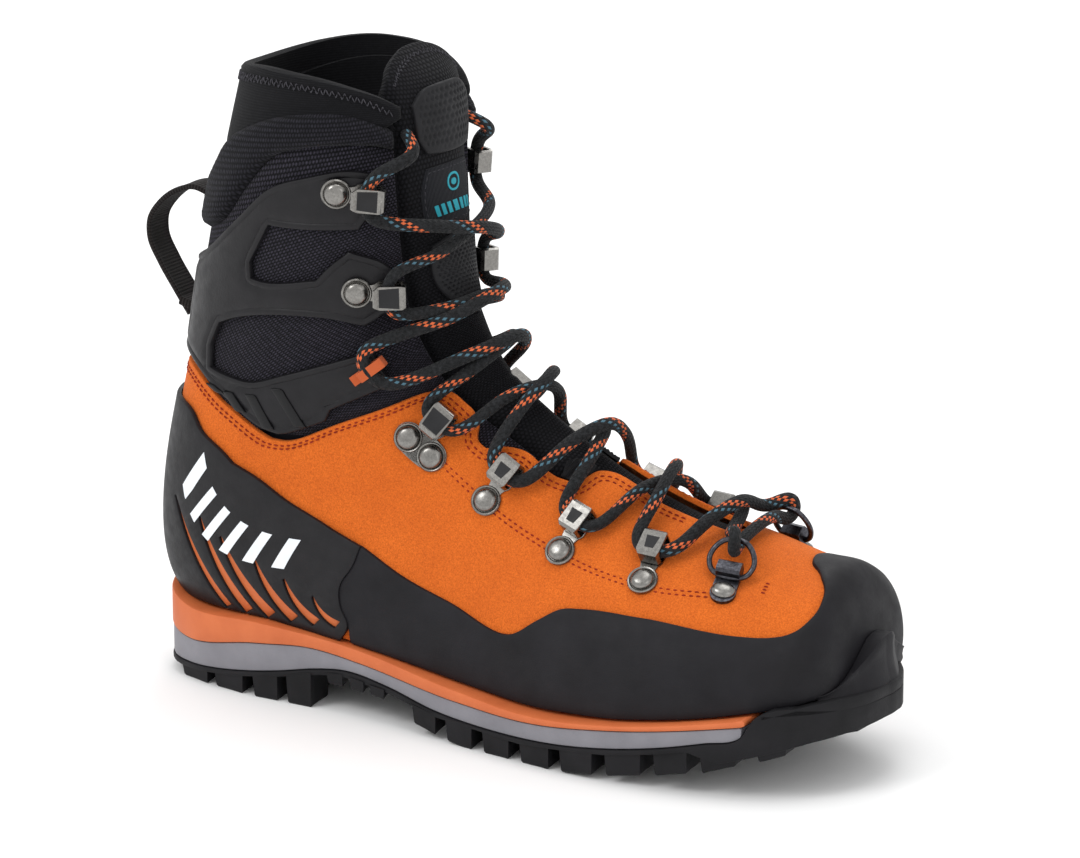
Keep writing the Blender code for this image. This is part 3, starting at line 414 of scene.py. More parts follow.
def smooth_line(points, step, closed=True, corner=38):
    """A smooth flat line through points that keeps its sharp corners."""
    p = np.asarray(points, float)
    n = len(p)
    ahead = np.roll(p, -1, 0) - p
    if not closed:
        ahead[-1] = ahead[-2]
    back = np.roll(ahead, 1, 0)
    if not closed:
        back[0] = ahead[0]
    la = np.maximum(np.linalg.norm(ahead, axis=1), 1e-9)[:, None]
    lb = np.maximum(np.linalg.norm(back, axis=1), 1e-9)[:, None]
    tangent = (back / lb * la + ahead / la * lb) / (la + lb)
    turn = np.degrees(np.arccos(np.clip((ahead / la * back / lb).sum(1), -1, 1)))
    sharp = turn > corner
    out = []
    for i in range(n if closed else n - 1):
        j = (i + 1) % n
        length = la[i, 0]
        start = ahead[i] / la[i] if sharp[i] else tangent[i]
        end = ahead[i] / la[i] if sharp[j] else tangent[j]
        parts = max(1, math.ceil(length / step))
        t = (np.arange(parts) / parts)[:, None]
        out.append(cubic(t, length, p[i], start, p[j], end))
    if not closed:
        out.append(p[-1:])
    return np.concatenate(out)


def area_sign(loop):
    x, y = loop.T
    return 1 if (x * np.roll(y, -1) - y * np.roll(x, -1)).sum() > 0 else -1


def shifted(loop, distance, closed=True):
    """A flat line moved to its left by a real distance over the last."""
    ahead = np.gradient(loop, axis=0)
    if closed:
        ahead = np.roll(loop, -1, 0) - np.roll(loop, 1, 0)
    side = np.column_stack([-ahead[:, 1], ahead[:, 0]])
    side /= np.maximum(np.linalg.norm(side, axis=1, keepdims=True), 1e-9)
    here, there = last(*rolled(loop)), last(*rolled(loop + side))
    stretch = np.clip(np.linalg.norm(there - here, axis=1), 0.3, 3)
    return loop + side * (distance / stretch)[:, None]


def triangulate(loops, cell, guides=()):
    """Flat triangles inside loops[0] and outside the other loops; guides are lines to follow."""
    step = np.array([cell, cell * math.sqrt(3) / 2])
    low, high = loops[0].min(0), loops[0].max(0)
    i = np.arange(math.floor(low[0] / step[0]) - 1, math.ceil(high[0] / step[0]) + 1)
    j = np.arange(math.floor(low[1] / step[1]) - 1, math.ceil(high[1] / step[1]) + 1)
    i, j = np.meshgrid(i, j)
    grid = np.column_stack([((i + j % 2 / 2) * step[0]).ravel(), (j * step[1]).ravel()])
    keep = inside(grid, loops[0])
    for loop in loops[1:]:
        keep &= ~inside(grid, loop)
    grid = grid[keep]
    lines = [(loop, True) for loop in loops] + list(guides)
    tree = KDTree(sum(len(line) for line, _ in lines))
    count = 0
    points, edges = [], []
    for line, closed in lines:
        n = len(line)
        edges += [(count + k, count + (k + 1) % n) for k in range(n if closed else n - 1)]
        for p in line:
            tree.insert((*p, 0), count)
            count += 1
            points.append(Vector(p))
    tree.balance()
    points += [Vector(p) for p in grid if tree.find((*p, 0))[2] > cell * 0.55]
    flat, _, faces, *_ = delaunay_2d_cdt(points, edges, [], 0, 1e-4)
    flat = np.array([tuple(p) for p in flat])
    faces = np.array([tuple(f) for f in faces])
    centre = flat[faces].mean(1)
    keep = inside(centre, loops[0])
    for loop in loops[1:]:
        keep &= ~inside(centre, loop)
    return flat, faces[keep]


def closed_shell(low, high, faces):
    """Two matching sheets joined round every open edge; also the index of each kept point."""
    used, faces = np.unique(faces, return_inverse=True)
    faces = faces.reshape(-1, 3)
    n = len(used)
    ends = np.concatenate([faces[:, [0, 1]], faces[:, [1, 2]], faces[:, [2, 0]]])
    code = set((ends[:, 0] * n + ends[:, 1]).tolist())
    rim = [(a, b) for a, b in ends.tolist() if b * n + a not in code]
    walls = [(a, b, b + n, a + n) for a, b in rim]
    shells = faces.tolist() + (faces[:, ::-1] + n).tolist()
    return np.concatenate([high[used], low[used]]), shells + walls, np.concatenate([used, used])


def wall(rows, around, base=0):
    """Faces between rows of points, each row once round."""
    faces = []
    for r in range(rows - 1):
        a, b = base + r * around, base + (r + 1) * around
        for k in range(around):
            q = (k + 1) % around
            faces.append((a + k, a + q, b + q, b + k))
    return faces


def rounding(distance, radius):
    """How far a rounded edge falls below the surface, by distance from the edge."""
    share = np.clip(distance / radius, 0, 1)
    return radius * (1 - np.sqrt(np.clip(1 - (1 - share) ** 2, 0, 1)))


def panel(name, outline, inner, outer, finish, holes=(), cell=2.6, radius=0.6, relief=None,
          rings=(), guides=(), corner=38, depth=None):
    """A sheet of the upper with rounded edges.

    relief(place) gives extra height, where place holds u, v, the flat point, the point on the last
    and the distance from the edge. rings are distances from the edge that the mesh follows.
    """
    loops = [smooth_line(unrolled(each), STEP, corner=corner) for each in (outline, *holes)]
    lines = list(guides)
    for k, loop in enumerate(loops):
        inward = area_sign(loop) * (1 if k == 0 else -1)
        lines += [(shifted(loop, inward * d), True) for d in (radius * 0.3, radius, *rings)]
    flat, faces = triangulate(loops, cell, lines)
    u, v = rolled(flat)
    spots = last(u, v)
    edge = np.minimum.reduce([Track(last(*rolled(loop))).distance(spots) for loop in loops])
    place = {"u": u, "v": v, "flat": flat, "spot": spots, "edge": edge}
    base = np.zeros(len(u)) if depth is None else depth(place)
    high = outer + base - rounding(edge, radius)
    if relief:
        high = high + relief(place)
    n = outward(u, v)
    low, high = spots + n * (inner + base)[:, None], spots + n * high[:, None]
    points, faces, index = closed_shell(low, high, faces)
    return mesh_piece(name, points, faces, finish, uv=flat[index])


def ridge(distance, centre, width):
    """A soft bump across a line at this distance."""
    return np.exp(-((distance - centre) / width) ** 2)


def along_edge(outline, distance, first, final, corner=38):
    """A flat line inside an outline's edge, from near one chart point to near another."""
    loop = smooth_line(unrolled(outline), 0.8, corner=corner)
    line = shifted(loop, area_sign(loop) * distance)
    a, b = (int(np.argmin(np.linalg.norm(loop - unrolled([p])[0], axis=1))) for p in (first, final))
    return line[a:b] if a < b else np.concatenate([line[a:], line[:b]])


def clean(line):
    """The line without the backward runs that an offset makes at a corner."""
    keep = [line[0]]
    for p in line[1:]:
        if np.linalg.norm(p - keep[-1]) > 0.5:
            keep.append(p)
    return np.array(keep)


def stitches(name, lines, body, finish, depth, pitch=2.7, gap=0.8, thick=0.62):
    """Rows of thread, each stitch a short rounded bar that dips into the sheet at its ends."""
    points, faces = [], []
    ring = np.linspace(0, 2 * math.pi, THREAD_SIDES + 1)[:-1]
    for line in lines:
        spots = last(*rolled(line))
        run = np.concatenate([[0], np.cumsum(np.linalg.norm(np.diff(spots, axis=0), axis=1))])
        starts = np.arange(0.4, run[-1] - pitch, pitch)
        share = np.linspace(0, 1, len(THREAD_HUMP))
        for s in starts:
            at = s + share * (pitch - gap)
            flat = np.column_stack([np.interp(at, run, line[:, 0]), np.interp(at, run, line[:, 1])])
            u, v = rolled(flat)
            n = outward(u, v)
            lift = depth + thick * np.array(THREAD_HUMP)
            middle_line = last(u, v) + n * lift[:, None]
            ahead = np.gradient(middle_line, axis=0)
            ahead /= np.linalg.norm(ahead, axis=1, keepdims=True)
            side = np.cross(ahead, n)
            size = thick / 2 * np.array([0.7, 1, 1, 1, 0.7])
            base = len(points)
            for c, a, b, r in zip(middle_line, side, n, size):
                for turn in ring:
                    points.append(c + (a * math.cos(turn) + b * math.sin(turn)) * r)
            faces += wall(len(THREAD_HUMP), THREAD_SIDES, base)
            end = base + (len(THREAD_HUMP) - 1) * THREAD_SIDES
            faces.append(tuple(base + q for q in range(THREAD_SIDES - 1, -1, -1)))
            faces.append(tuple(end + q for q in range(THREAD_SIDES)))
    return finished(mesh_piece(name, points, faces, finish, sharp=80), body)


def zigzag(places, step, swing):
    """A flat line through chart points that swings to and fro at every step."""
    line = smooth_line(unrolled(places), step, closed=False)
    return line + np.array([[0.0, swing if k % 2 else -swing] for k in range(len(line))])


def swept(name, path, across, up, shape, finish, closed=False, sharp=35):
    """A tube along path whose section is shape, in (across, up) pairs; its weave runs along it."""
    n, m = len(path), len(shape)
    around = np.linalg.norm(np.roll(shape, -1, 0) - shape, axis=1)
    around = np.concatenate([[0], np.cumsum(around)])
    run = np.concatenate([[0], np.cumsum(np.linalg.norm(np.diff(path, axis=0), axis=1))])
    points = path[:, None] + across[:, None] * shape[None, :, :1] + up[:, None] * shape[None, :, 1:]
    faces, uv = [], []
    for i in range(n if closed else n - 1):
        j = (i + 1) % n
        for k in range(m):
            q = (k + 1) % m
            faces.append((i * m + k, i * m + q, j * m + q, j * m + k))
            left, right = around[k], around[k + 1]
            start, end = run[i], run[j] if j else run[-1] + 1
            uv += [(left, start), (right, start), (right, end), (left, end)]
    if not closed:
        for first in (0, (n - 1) * m):
            faces.append(tuple(first + k for k in range(m)))
            uv += [tuple(p) for p in shape]
    return mesh_piece(name, points.reshape(-1, 3), faces, finish, uv, sharp)


def carried_frames(path, first_up):
    """Unit vectors across and above a path, turned as little as it allows."""
    ahead = np.gradient(path, axis=0)
    ahead /= np.linalg.norm(ahead, axis=1, keepdims=True)
    up = [np.asarray(first_up, float)]
    for direction in ahead:
        turned_up = up[-1] - direction * (up[-1] @ direction)
        up.append(turned_up / np.linalg.norm(turned_up))
    up = np.array(up[1:])
    return np.cross(ahead, up), up


def eased(path, reach):
    """The path with its tightest bends opened by averaging over reach points; its ends stay."""
    weights = np.hanning(reach + 2)[1:-1]
    weights /= weights.sum()
    half = reach // 2
    before, after = 2 * path[0] - path[half:0:-1], 2 * path[-1] - path[-2:-half - 2:-1]
    longer = np.concatenate([before, path, after])
    return np.column_stack([np.convolve(longer[:, k], weights, "valid") for k in range(3)])


def smooth_path(points, step):
    """A smooth line in space through points, with even spacing."""
    p = np.asarray(points, float)
    knots = np.concatenate([[0], np.cumsum(np.sqrt(np.linalg.norm(np.diff(p, axis=0), axis=1)))])
    slope = np.gradient(p, knots, axis=0) * 0.9
    fine = []
    for i in range(len(p) - 1):
        h = knots[i + 1] - knots[i]
        t = np.linspace(0, 1, 24, endpoint=False)[:, None]
        fine.append(cubic(t, h, p[i], slope[i], p[i + 1], slope[i + 1]))
    fine = np.concatenate([*fine, p[-1:]])
    run = np.concatenate([[0], np.cumsum(np.linalg.norm(np.diff(fine, axis=0), axis=1))])
    at = np.linspace(0, run[-1], max(2, round(run[-1] / step)))
    return np.column_stack([np.interp(at, run, fine[:, k]) for k in range(3)])


# ---- materials ----
class Nodes:
    """Short calls for building one material."""

    def __init__(self, name, colour, roughness, metallic=0.0, **sockets):
        self.material = bpy.data.materials.new(name)
        self.material.use_nodes = True
        self.tree = self.material.node_tree
        self.shader = self.tree.nodes["Principled BSDF"]
        self.shader.inputs["Base Color"].default_value = (*colour, 1)
        self.shader.inputs["Roughness"].default_value = roughness
        self.shader.inputs["Metallic"].default_value = metallic
        for socket, value in sockets.items():
            self.shader.inputs[socket.replace("_", " ")].default_value = value
        self.last_normal = None

    def node(self, kind, **settings):
        made = self.tree.nodes.new("ShaderNode" + kind)
        for key, value in settings.items():
            setattr(made, key, value)
        return made

    def set(self, socket, value):
        if hasattr(value, "is_output"):
            self.tree.links.new(value, socket)
        elif value is not None:
            socket.default_value = value

    def math(self, operation, a, b=None, c=None):
        made = self.node("Math", operation=operation)
        for socket, value in zip(made.inputs, (a, b, c)):
            self.set(socket, value)
        return made.outputs[0]

    def flat(self):
        """x and y over the sheet, in metres."""
        split = self.node("SeparateXYZ")
        self.set(split.inputs[0], self.node("UVMap", uv_map="flat").outputs[0])
        return split.outputs[0], split.outputs[1]

    def noise(self, scale, detail=3.0, roughness=0.55, stretch=None):
        where = self.node("TexCoord").outputs["Object"]
        if stretch:
            mapping = self.node("Mapping")
            self.set(mapping.inputs["Vector"], where)
            mapping.inputs["Scale"].default_value = stretch
            where = mapping.outputs[0]
        made = self.node("TexNoise")
        self.set(made.inputs["Vector"], where)
        made.inputs["Scale"].default_value = scale
        made.inputs["Detail"].default_value = detail
        made.inputs["Roughness"].default_value = roughness
        return made.outputs["Fac"]

    def cells(self, scale):
        made = self.node("TexVoronoi", feature="F1")
        self.set(made.inputs["Vector"], self.node("TexCoord").outputs["Object"])
        made.inputs["Scale"].default_value = scale
        return made.outputs["Distance"]

    def span(self, value, low, high, to_low=0.0, to_high=1.0):
        made = self.node("MapRange")
        self.set(made.inputs[0], value)
        for socket, number in zip(made.inputs[1:5], (low, high, to_low, to_high)):
            socket.default_value = number
        return made.outputs[0]

    def mix(self, share, a, b):
        made = self.node("Mix", data_type="RGBA")
        self.set(made.inputs["Factor"], share)
        for socket, value in ((made.inputs["A"], a), (made.inputs["B"], b)):
            self.set(socket, (*value, 1) if isinstance(value, tuple) else value)
        return made.outputs["Result"]

    def colour(self, value):
        self.set(self.shader.inputs["Base Color"], value)

    def roughness(self, value):
        self.set(self.shader.inputs["Roughness"], value)

    def bump(self, height, distance, strength=1.0):
        made = self.node("Bump")
        made.inputs["Strength"].default_value = strength
        made.inputs["Distance"].default_value = distance
        self.set(made.inputs["Height"], height)
        if self.last_normal:
            self.set(made.inputs["Normal"], self.last_normal)
        self.last_normal = made.outputs[0]
        self.set(self.shader.inputs["Normal"], self.last_normal)

    def tint(self, scale, detail, low, high):
        """Colour that drifts between two."""
        self.colour(self.mix(self.span(self.noise(scale, detail), 0.3, 0.7), low, high))

    def vary(self, scale, roughness, less, more):
        """Roughness that drifts to each side of its value."""
        self.roughness(self.span(self.noise(scale, 3), 0.3, 0.7, roughness - less, roughness + more))

    def wave(self, coordinate, period):
        """-1 to 1 along a coordinate, once a period (both in metres)."""
        return self.math("SINE", self.math("MULTIPLY", coordinate, 2 * math.pi / period))


def suede_material():
    m = Nodes("suede", (0.74, 0.165, 0.03), 0.9, Sheen_Weight=0.12, Sheen_Roughness=0.5,
              Specular_IOR_Level=0.15)
    m.shader.inputs["Sheen Tint"].default_value = (1.0, 0.55, 0.3, 1)
    nap = m.noise(1700, 3, 0.8)
    brushed = m.noise(55, 4, 0.6)
    tone = m.mix(m.span(brushed, 0.3, 0.7), (0.66, 0.138, 0.015), (0.76, 0.170, 0.021))
    grain = m.span(nap, 0.36, 0.64)
    m.colour(m.mix(m.math("ADD", m.math("MULTIPLY", grain, 0.7), 0.3), (0.36, 0.055, 0.005), tone))
    m.roughness(m.span(brushed, 0.3, 0.7, 0.82, 0.95))
    m.bump(nap, 0.0005, 0.55)
    m.bump(m.noise(170, 3), 0.0006, 0.35)
    return m.material


def rubber_material(name, colour, light, roughness, lines=True):
    m = Nodes(name, colour, roughness, Specular_IOR_Level=0.2)
    m.tint(40, 3, colour, light)
    m.vary(120, roughness, 0.06, 0.08)
    m.bump(m.noise(1500, 2, 0.6), 0.0002, 0.35)
    if lines:
        m.bump(m.noise(420, 2, 0.5, stretch=(0.12, 0.12, 1.0)), 0.00025, 0.28)
    m.bump(m.noise(60, 2), 0.0006, 0.15)
    return m.material


def foam_material(name, colour, deep):
    m = Nodes(name, colour, 0.58, Specular_IOR_Level=0.4)
    m.tint(70, 3, deep, colour)
    m.bump(m.cells(1400), 0.00012, 0.35)
    m.bump(m.noise(300, 3), 0.00025, 0.3)
    return m.material


def mesh_cloth(name, dark, light, period, ratio=0.8, bump=0.0005):
    """A knit of small raised loops in staggered rows."""
    m = Nodes(name, dark, 0.92, Sheen_Weight=0.04, Sheen_Roughness=0.5, Specular_IOR_Level=0.12)
    x, y = m.flat()
    row = m.math("MULTIPLY", y, 1 / (period * ratio))
    shift = m.math("MULTIPLY", m.math("MODULO", m.math("FLOOR", row), 2.0), 0.5)
    a = m.math("SUBTRACT", m.math("FRACT", m.math("ADD", m.math(
        "MULTIPLY", m.math("ADD", x, 4.0), 1 / period), shift)), 0.5)
    b = m.math("SUBTRACT", m.math("FRACT", row), 0.5)
    far = m.math("SQRT", m.math("ADD", m.math("MULTIPLY", a, a), m.math("MULTIPLY", b, b)))
    loop = m.span(far, 0.18, 0.5, 1.0, 0.0)
    fleck = m.span(m.noise(700, 2), 0.35, 0.65, 0.45, 1.0)
    m.colour(m.mix(m.math("MULTIPLY", loop, fleck), dark, light))
    m.bump(loop, bump, 0.8)
    m.bump(m.noise(900, 3), 0.0002, 0.4)
    return m.material


def ribbed_cloth(name, dark, light, period, across_rows=False):
    """A fabric of fine ribs, straight over the flat sheet."""
    m = Nodes(name, dark, 0.9, Sheen_Weight=0.05, Sheen_Roughness=0.5, Specular_IOR_Level=0.12)
    x, y = m.flat()
    along, side = (y, x) if across_rows else (x, y)
    rib = m.wave(along, period)
    thread = m.wave(side, period * 0.55)
    height = m.math("ADD", m.math("MULTIPLY", rib, 0.5), m.math("MULTIPLY", thread, 0.25))
    m.colour(m.mix(m.span(height, -0.6, 0.6), dark, light))
    m.bump(height, 0.0004, 0.7)
    m.bump(m.noise(1100, 3), 0.00015, 0.4)
    return m.material


def plastic_material(name, colour, light, roughness, grain=900):
    m = Nodes(name, colour, roughness, Specular_IOR_Level=0.26)
    m.tint(90, 4, colour, light)
    m.vary(200, roughness, 0.05, 0.08)
    m.bump(m.noise(grain, 3, 0.6), 0.0002, 0.4)
    return m.material


def metal_material(name, colour, dark, roughness):
    m = Nodes(name, colour, roughness, 1.0)
    wear = m.noise(1100, 4, 0.6)
    m.colour(m.mix(m.span(wear, 0.3, 0.65), dark, colour))
    m.vary(500, roughness, 0.07, 0.12)
    m.bump(m.noise(700, 3), 0.00003, 0.3)
    return m.material


def lace_material():
    """A round braid: charcoal strands with one orange and one blue strand winding round."""
    m = Nodes("lace_braid", (0.03, 0.033, 0.037), 0.85, Sheen_Weight=0.05, Specular_IOR_Level=0.18)
    x, y = m.flat()
    turn = m.math("MULTIPLY", x, 1 / LACE_AROUND / MM)
    run = m.math("MULTIPLY", y, 1 / LACE_TURN / MM)
    strands = 12.0
    first = m.math("MULTIPLY", m.math("FRACT", m.math("ADD", m.math("ADD", turn, run), 40.0)),
                   strands)
    other = m.math("MULTIPLY", m.math("FRACT", m.math("ADD", m.math("SUBTRACT", turn, run), 90.0)),
                   strands)
    over = m.math("MODULO", m.math("ADD", m.math("FLOOR", first), m.math("FLOOR", other)), 2.0)

    def is_strand(which, number):
        return m.math("COMPARE", m.math("FLOOR", which), number, 0.1)

    def hump(which):
        side = m.math("SUBTRACT", m.math("FRACT", which), 0.5)
        return m.math("SUBTRACT", 1.0, m.math("MULTIPLY", m.math("MULTIPLY", side, side), 4.0))
    orange = m.math("MULTIPLY", over, m.math("ADD", is_strand(first, 1.0), is_strand(first, 2.0)))
    blue = m.math("MULTIPLY", over, is_strand(first, 4.0))
    base = m.mix(m.span(m.noise(800, 2), 0.3, 0.7), (0.006, 0.0065, 0.007), (0.02, 0.021, 0.023))
    m.colour(m.mix(blue, m.mix(orange, base, (0.62, 0.13, 0.045)), (0.07, 0.15, 0.20)))
    height = m.math("ADD", m.math("MULTIPLY", over, hump(first)),
                    m.math("MULTIPLY", m.math("SUBTRACT", 1.0, over), hump(other)))
    m.bump(height, 0.0003, 0.8)
    m.bump(m.noise(1500, 2), 0.0001, 0.4)
    return m.material


# ---- the looks ----
def linear(red, green, blue):
    """A colour given as 0 to 255 on screen."""
    return tuple((c / 255 / 12.92) if c < 10 else ((c / 255 + 0.055) / 1.055) ** 2.4
                 for c in (red, green, blue))


looks = {
    "suede": suede_material(),
    "rand": rubber_material("rand_rubber", linear(19, 18, 21), linear(28, 27, 31), 0.6),
    "outsole": rubber_material("outsole_rubber", linear(17, 17, 19), linear(26, 25, 28), 0.6, False),
    "cage": plastic_material("cage_tpu", linear(17, 16, 19), linear(25, 24, 27), 0.52),
    "exo": plastic_material("exo_tpu", linear(15, 14, 17), linear(23, 22, 25), 0.44),
    "orange_foam": foam_material("midsole_orange", linear(203, 107, 58), linear(192, 97, 50)),
    "grey_foam": foam_material("midsole_grey", linear(128, 127, 133), linear(117, 116, 122)),
    "cuff": mesh_cloth("cuff_textile", linear(10, 10, 13), linear(58, 55, 66), 0.0016, 0.75),
    "sock": mesh_cloth("sock_knit", linear(13, 13, 15), linear(27, 27, 30), 0.0007, 0.9, 0.00008),
    "roll": mesh_cloth("collar_padding", linear(11, 11, 14), linear(42, 41, 48), 0.0014, 0.8, 0.0002),
    "tongue": mesh_cloth("tongue_knit", linear(10, 10, 12), linear(30, 30, 34), 0.0022, 0.86, 0.0003),
    "pad": plastic_material("pad_film", linear(17, 17, 20), linear(26, 26, 29), 0.62, 1400),
    "lining": ribbed_cloth("lining", linear(26, 26, 30), linear(48, 48, 54), 0.0016),
    "footbed": foam_material("footbed_foam", linear(60, 60, 64), linear(44, 44, 48)),
    "board": plastic_material("board", linear(164, 142, 112), linear(182, 160, 128), 0.8),
    "steel": metal_material("shank_steel", linear(175, 175, 180), linear(120, 120, 126), 0.35),
    "gloss": plastic_material("exo_gloss", linear(8, 8, 10), linear(12, 12, 14), 0.3),
    "nickel": metal_material("nickel", linear(140, 138, 134), linear(118, 116, 113), 0.27),
    "gunmetal": metal_material("gunmetal", linear(86, 86, 92), linear(44, 44, 48), 0.34),
    # painted shade: a black plate material that stands in for the shade in the metal hardware's
    # grooves
    "groove_shade_paint": plastic_material("groove_shade_paint", linear(24, 24, 26), linear(34, 34, 36), 0.45),
    "webbing": ribbed_cloth("webbing_black", linear(20, 18, 18), linear(42, 38, 37), 0.0013, True),
    "orange_webbing": ribbed_cloth("webbing_orange", linear(150, 66, 34), linear(206, 104, 62),
                                   0.0011, True),
    "label": ribbed_cloth("label_cloth", linear(22, 23, 27), linear(36, 37, 42), 0.0009),
    "teal": plastic_material("label_marks", linear(32, 142, 158), linear(46, 160, 176), 0.6),
    "white": plastic_material("cage_marks", linear(222, 228, 234), linear(236, 240, 244), 0.55),
    "red_thread": plastic_material("red_thread", linear(120, 30, 12), linear(150, 44, 20), 0.8),
    "dark_thread": plastic_material("dark_thread", linear(52, 51, 56), linear(66, 65, 70), 0.8),
    "lace": lace_material(),
}


# ---- upper ----
SUEDE = both_sides(FACING + SUEDE_TOP + FLOOR_BACK)
RAND = both_sides(RAND_TOP + SEAM + lower_edge(0.505, TOE_END, 20, 0.7))
MIRROR = np.array([-1.0, 1.0])          # takes a flat point to the boot's other side
SLOT_BOW = -2.0                         # how far a cage slot bows from a straight line
SLOT_WIDEN = 1.15                       # its cut width, as a share of its listed width
INLAY_MARGIN = 2.4                      # how much wider than that listed width its inlay is
ROWS = (2.6, 4.4)                       # the suede's double rows of thread, from its edge


def mirrored(lines):
    """The same flat lines on the boot's other side."""
    return [*lines, *[line * MIRROR for line in lines]]


def suede():
    def relief(place):
        dents = sum(ridge(place["edge"], row, 0.55) for row in ROWS)
        flesh = 0.12 * np.sin(place["flat"][:, 0] / 11) * np.sin(place["flat"][:, 1] / 14)
        u, v = np.abs(place["u"]), place["v"]
        under_ring = np.exp(-((u - 0.104) / 0.024) ** 4 - ((v - 0.19) / 0.032) ** 4)
        return flesh - 0.22 * dents - 1.2 * under_ring
    finished(panel("suede_panel", SUEDE, -2.6, -0.7, looks["suede"], cell=2.4, radius=0.7,
                   relief=relief, rings=ROWS), "lower", ["suede_upper"])
    top = [along_edge(SUEDE, d, (0.047, 0.293), (BACK, 0.835)) for d in ROWS]
    stitches("suede_edge_stitching", mirrored([clean(line) for line in top]), "lower",
             looks["red_thread"], -0.78)
    rivets = smooth_line(unrolled([(0.148, 0.600), (0.166, 0.54), (0.180, 0.46), (0.180, 0.38),
                                   (0.172, 0.31), (0.156, 0.225), (0.142, 0.165)]),
                         1.0, closed=False)
    rows = [shifted(rivets, d, closed=False) for d in (-0.9, 0.9)]
    stitches("rivet_line_stitching", mirrored(rows), "lower", looks["red_thread"], -0.78)
    tacks = []
    for k in range(4):
        start = unrolled([(0.104 + 0.006 * k, 0.138), (0.106 + 0.006 * k, 0.152)])
        tacks.append(np.linspace(start[0], start[1], 8))
    stitches("bar_tacks", mirrored(tacks), "lower", looks["red_thread"], -0.7, pitch=2.0, gap=0.2)
    tab = [(0.058, 0.417), (0.098, 0.428), (0.105, 0.448), (0.080, 0.455), (0.055, 0.44)]
    for word, side in SIDES:
        outline = [(side * u, v) for u, v in tab]

        def grooves(place):
            return 0.35 * np.sin(place["flat"][:, 1] * 2 * math.pi / 2.2)
        finished(panel("facing_tab_" + word, outline, -3.4, -2.0, looks["pad"], cell=0.9,
                       radius=0.5, relief=grooves), "lower")


def rand_and_cage():
    finished(panel("rand_panel", RAND, -0.75, 0.85, looks["rand"], cell=3.0, radius=0.8,
                   rings=(2.4, 3.4), corner=75), "lower", ["rand"])
    front = [(u, v - 0.001) for u, v in reversed(SEAM)]
    floor = [(0.5, heel_v(0.9)), *lower_edge(heel_v(0.9) - 0.003, 0.512, 12, 0.9)]
    outline = both_sides(floor + front + CAGE_TOP[1:], 0.5)
    holes = [slash(*each[:4], each[4] * SLOT_WIDEN) for each in SLASHES]
    holes += [[(1 - u, v) for u, v in hole] for hole in holes]
    finished(panel("cage_shell", outline, -0.15, 1.5, looks["cage"], holes, cell=2.6, radius=0.55),
             "lower", ["heel_cage"])
    for word, side in SIDES:
        for k, each in enumerate(SLASHES):
            hole = slash(*each[:4], each[4] + INLAY_MARGIN)
            hole = [(u if side == 1 else 1 - u, v) for u, v in hole]
            finished(panel(f"cage_inlay_{k + 1}_{word}", hole, -0.65, 0.25, looks["orange_foam"],
                           cell=2.4, radius=0.3), "lower")
        cage_bars(word, side)


def beside(x, z, u, v):
    """The places on the outer side that a look straight from the side sees at x and z."""
    for _ in range(12):
        here, right, up = last(u, v), last(u + 1e-4, v), last(u, v + 1e-4)
        by_u, by_v = (right - here) / 1e-4, (up - here) / 1e-4
        gap_x, gap_z = x - here[:, 0], z - here[:, 2]
        area = by_u[:, 0] * by_v[:, 2] - by_v[:, 0] * by_u[:, 2]
        u = u + np.clip((gap_x * by_v[:, 2] - gap_z * by_v[:, 0]) / area, -0.02, 0.02)
        v = v + np.clip((gap_z * by_u[:, 0] - gap_x * by_u[:, 2]) / area, -0.02, 0.02)
    return u, v


def slash(u0, v0, u1, v1, width):
    """A slot that bows to the back: sharp at its upper end and widest close over the sole."""
    ends = last(np.array([u0, u1]), np.array([v0, v1]))[:, [0, 2]]
    ahead = (ends[1] - ends[0]) / np.linalg.norm(ends[1] - ends[0])
    side = np.array([-ahead[1], ahead[0]])
    share = np.linspace(0, 1, 20)
    middle_line = ends[0] + np.outer(share, ends[1] - ends[0]) + np.outer(
        SLOT_BOW * 4 * share * (1 - share), side)
    half = np.outer(width / 2 * (0.2 + 0.8 * share ** 0.8), side)
    x, z = np.concatenate([middle_line + half, (middle_line - half)[::-1]]).T
    along = np.concatenate([share, share[::-1]])
    return list(zip(*beside(x, z, u0 + (u1 - u0) * along, v0 + (v1 - v0) * along)))


def raised_marks(name, patches, cell, depths, finish, side=1):
    """Thin flat marks in one mesh; each is a loop and any hole in it, between two depths."""
    points, faces = [], []
    for loops in patches:
        flat, cut = triangulate(loops, cell)
        u, v = rolled(flat)
        u = u if side == 1 else 1 - u
        low, high = (on_last(u, v, np.full(len(u), depth)) for depth in depths)
        shell, shell_faces, _ = closed_shell(low, high, cut)
        base = sum(len(p) for p in points)
        points.append(shell)
        faces += [tuple(base + i for i in face) for face in shell_faces]
    return mesh_piece(name, np.concatenate(points), faces, finish)


def cage_bars(word, side):
    """A row of plain slanted bars moulded on the cage."""
    start, end = unrolled([(0.352, 0.728), (0.299, 0.578)])
    ahead = (end - start) / np.linalg.norm(end - start)
    across = np.array([-ahead[1], ahead[0]])
    slant = ahead * 1.8
    patches = []
    for k in range(6):
        centre = start + (end - start) * (k + 0.5) / 6
        bar = [centre + a * across * 6.6 + b * ahead * 3.0 + a * slant for a, b in QUAD]
        patches.append([smooth_line(np.array(bar), 1.0)])
    finished(raised_marks("cage_bars_" + word, patches, 1.6, (1.4, 1.62), looks["white"], side),
             "lower")


# ---- cuff ----
# the lower edge of the exo frame's lower window, in u and v
WINDOW_LOW = [(0.173, 0.735), (0.238, 0.755), (0.272, 0.765), (0.302, 0.783), (0.338, 0.805)]


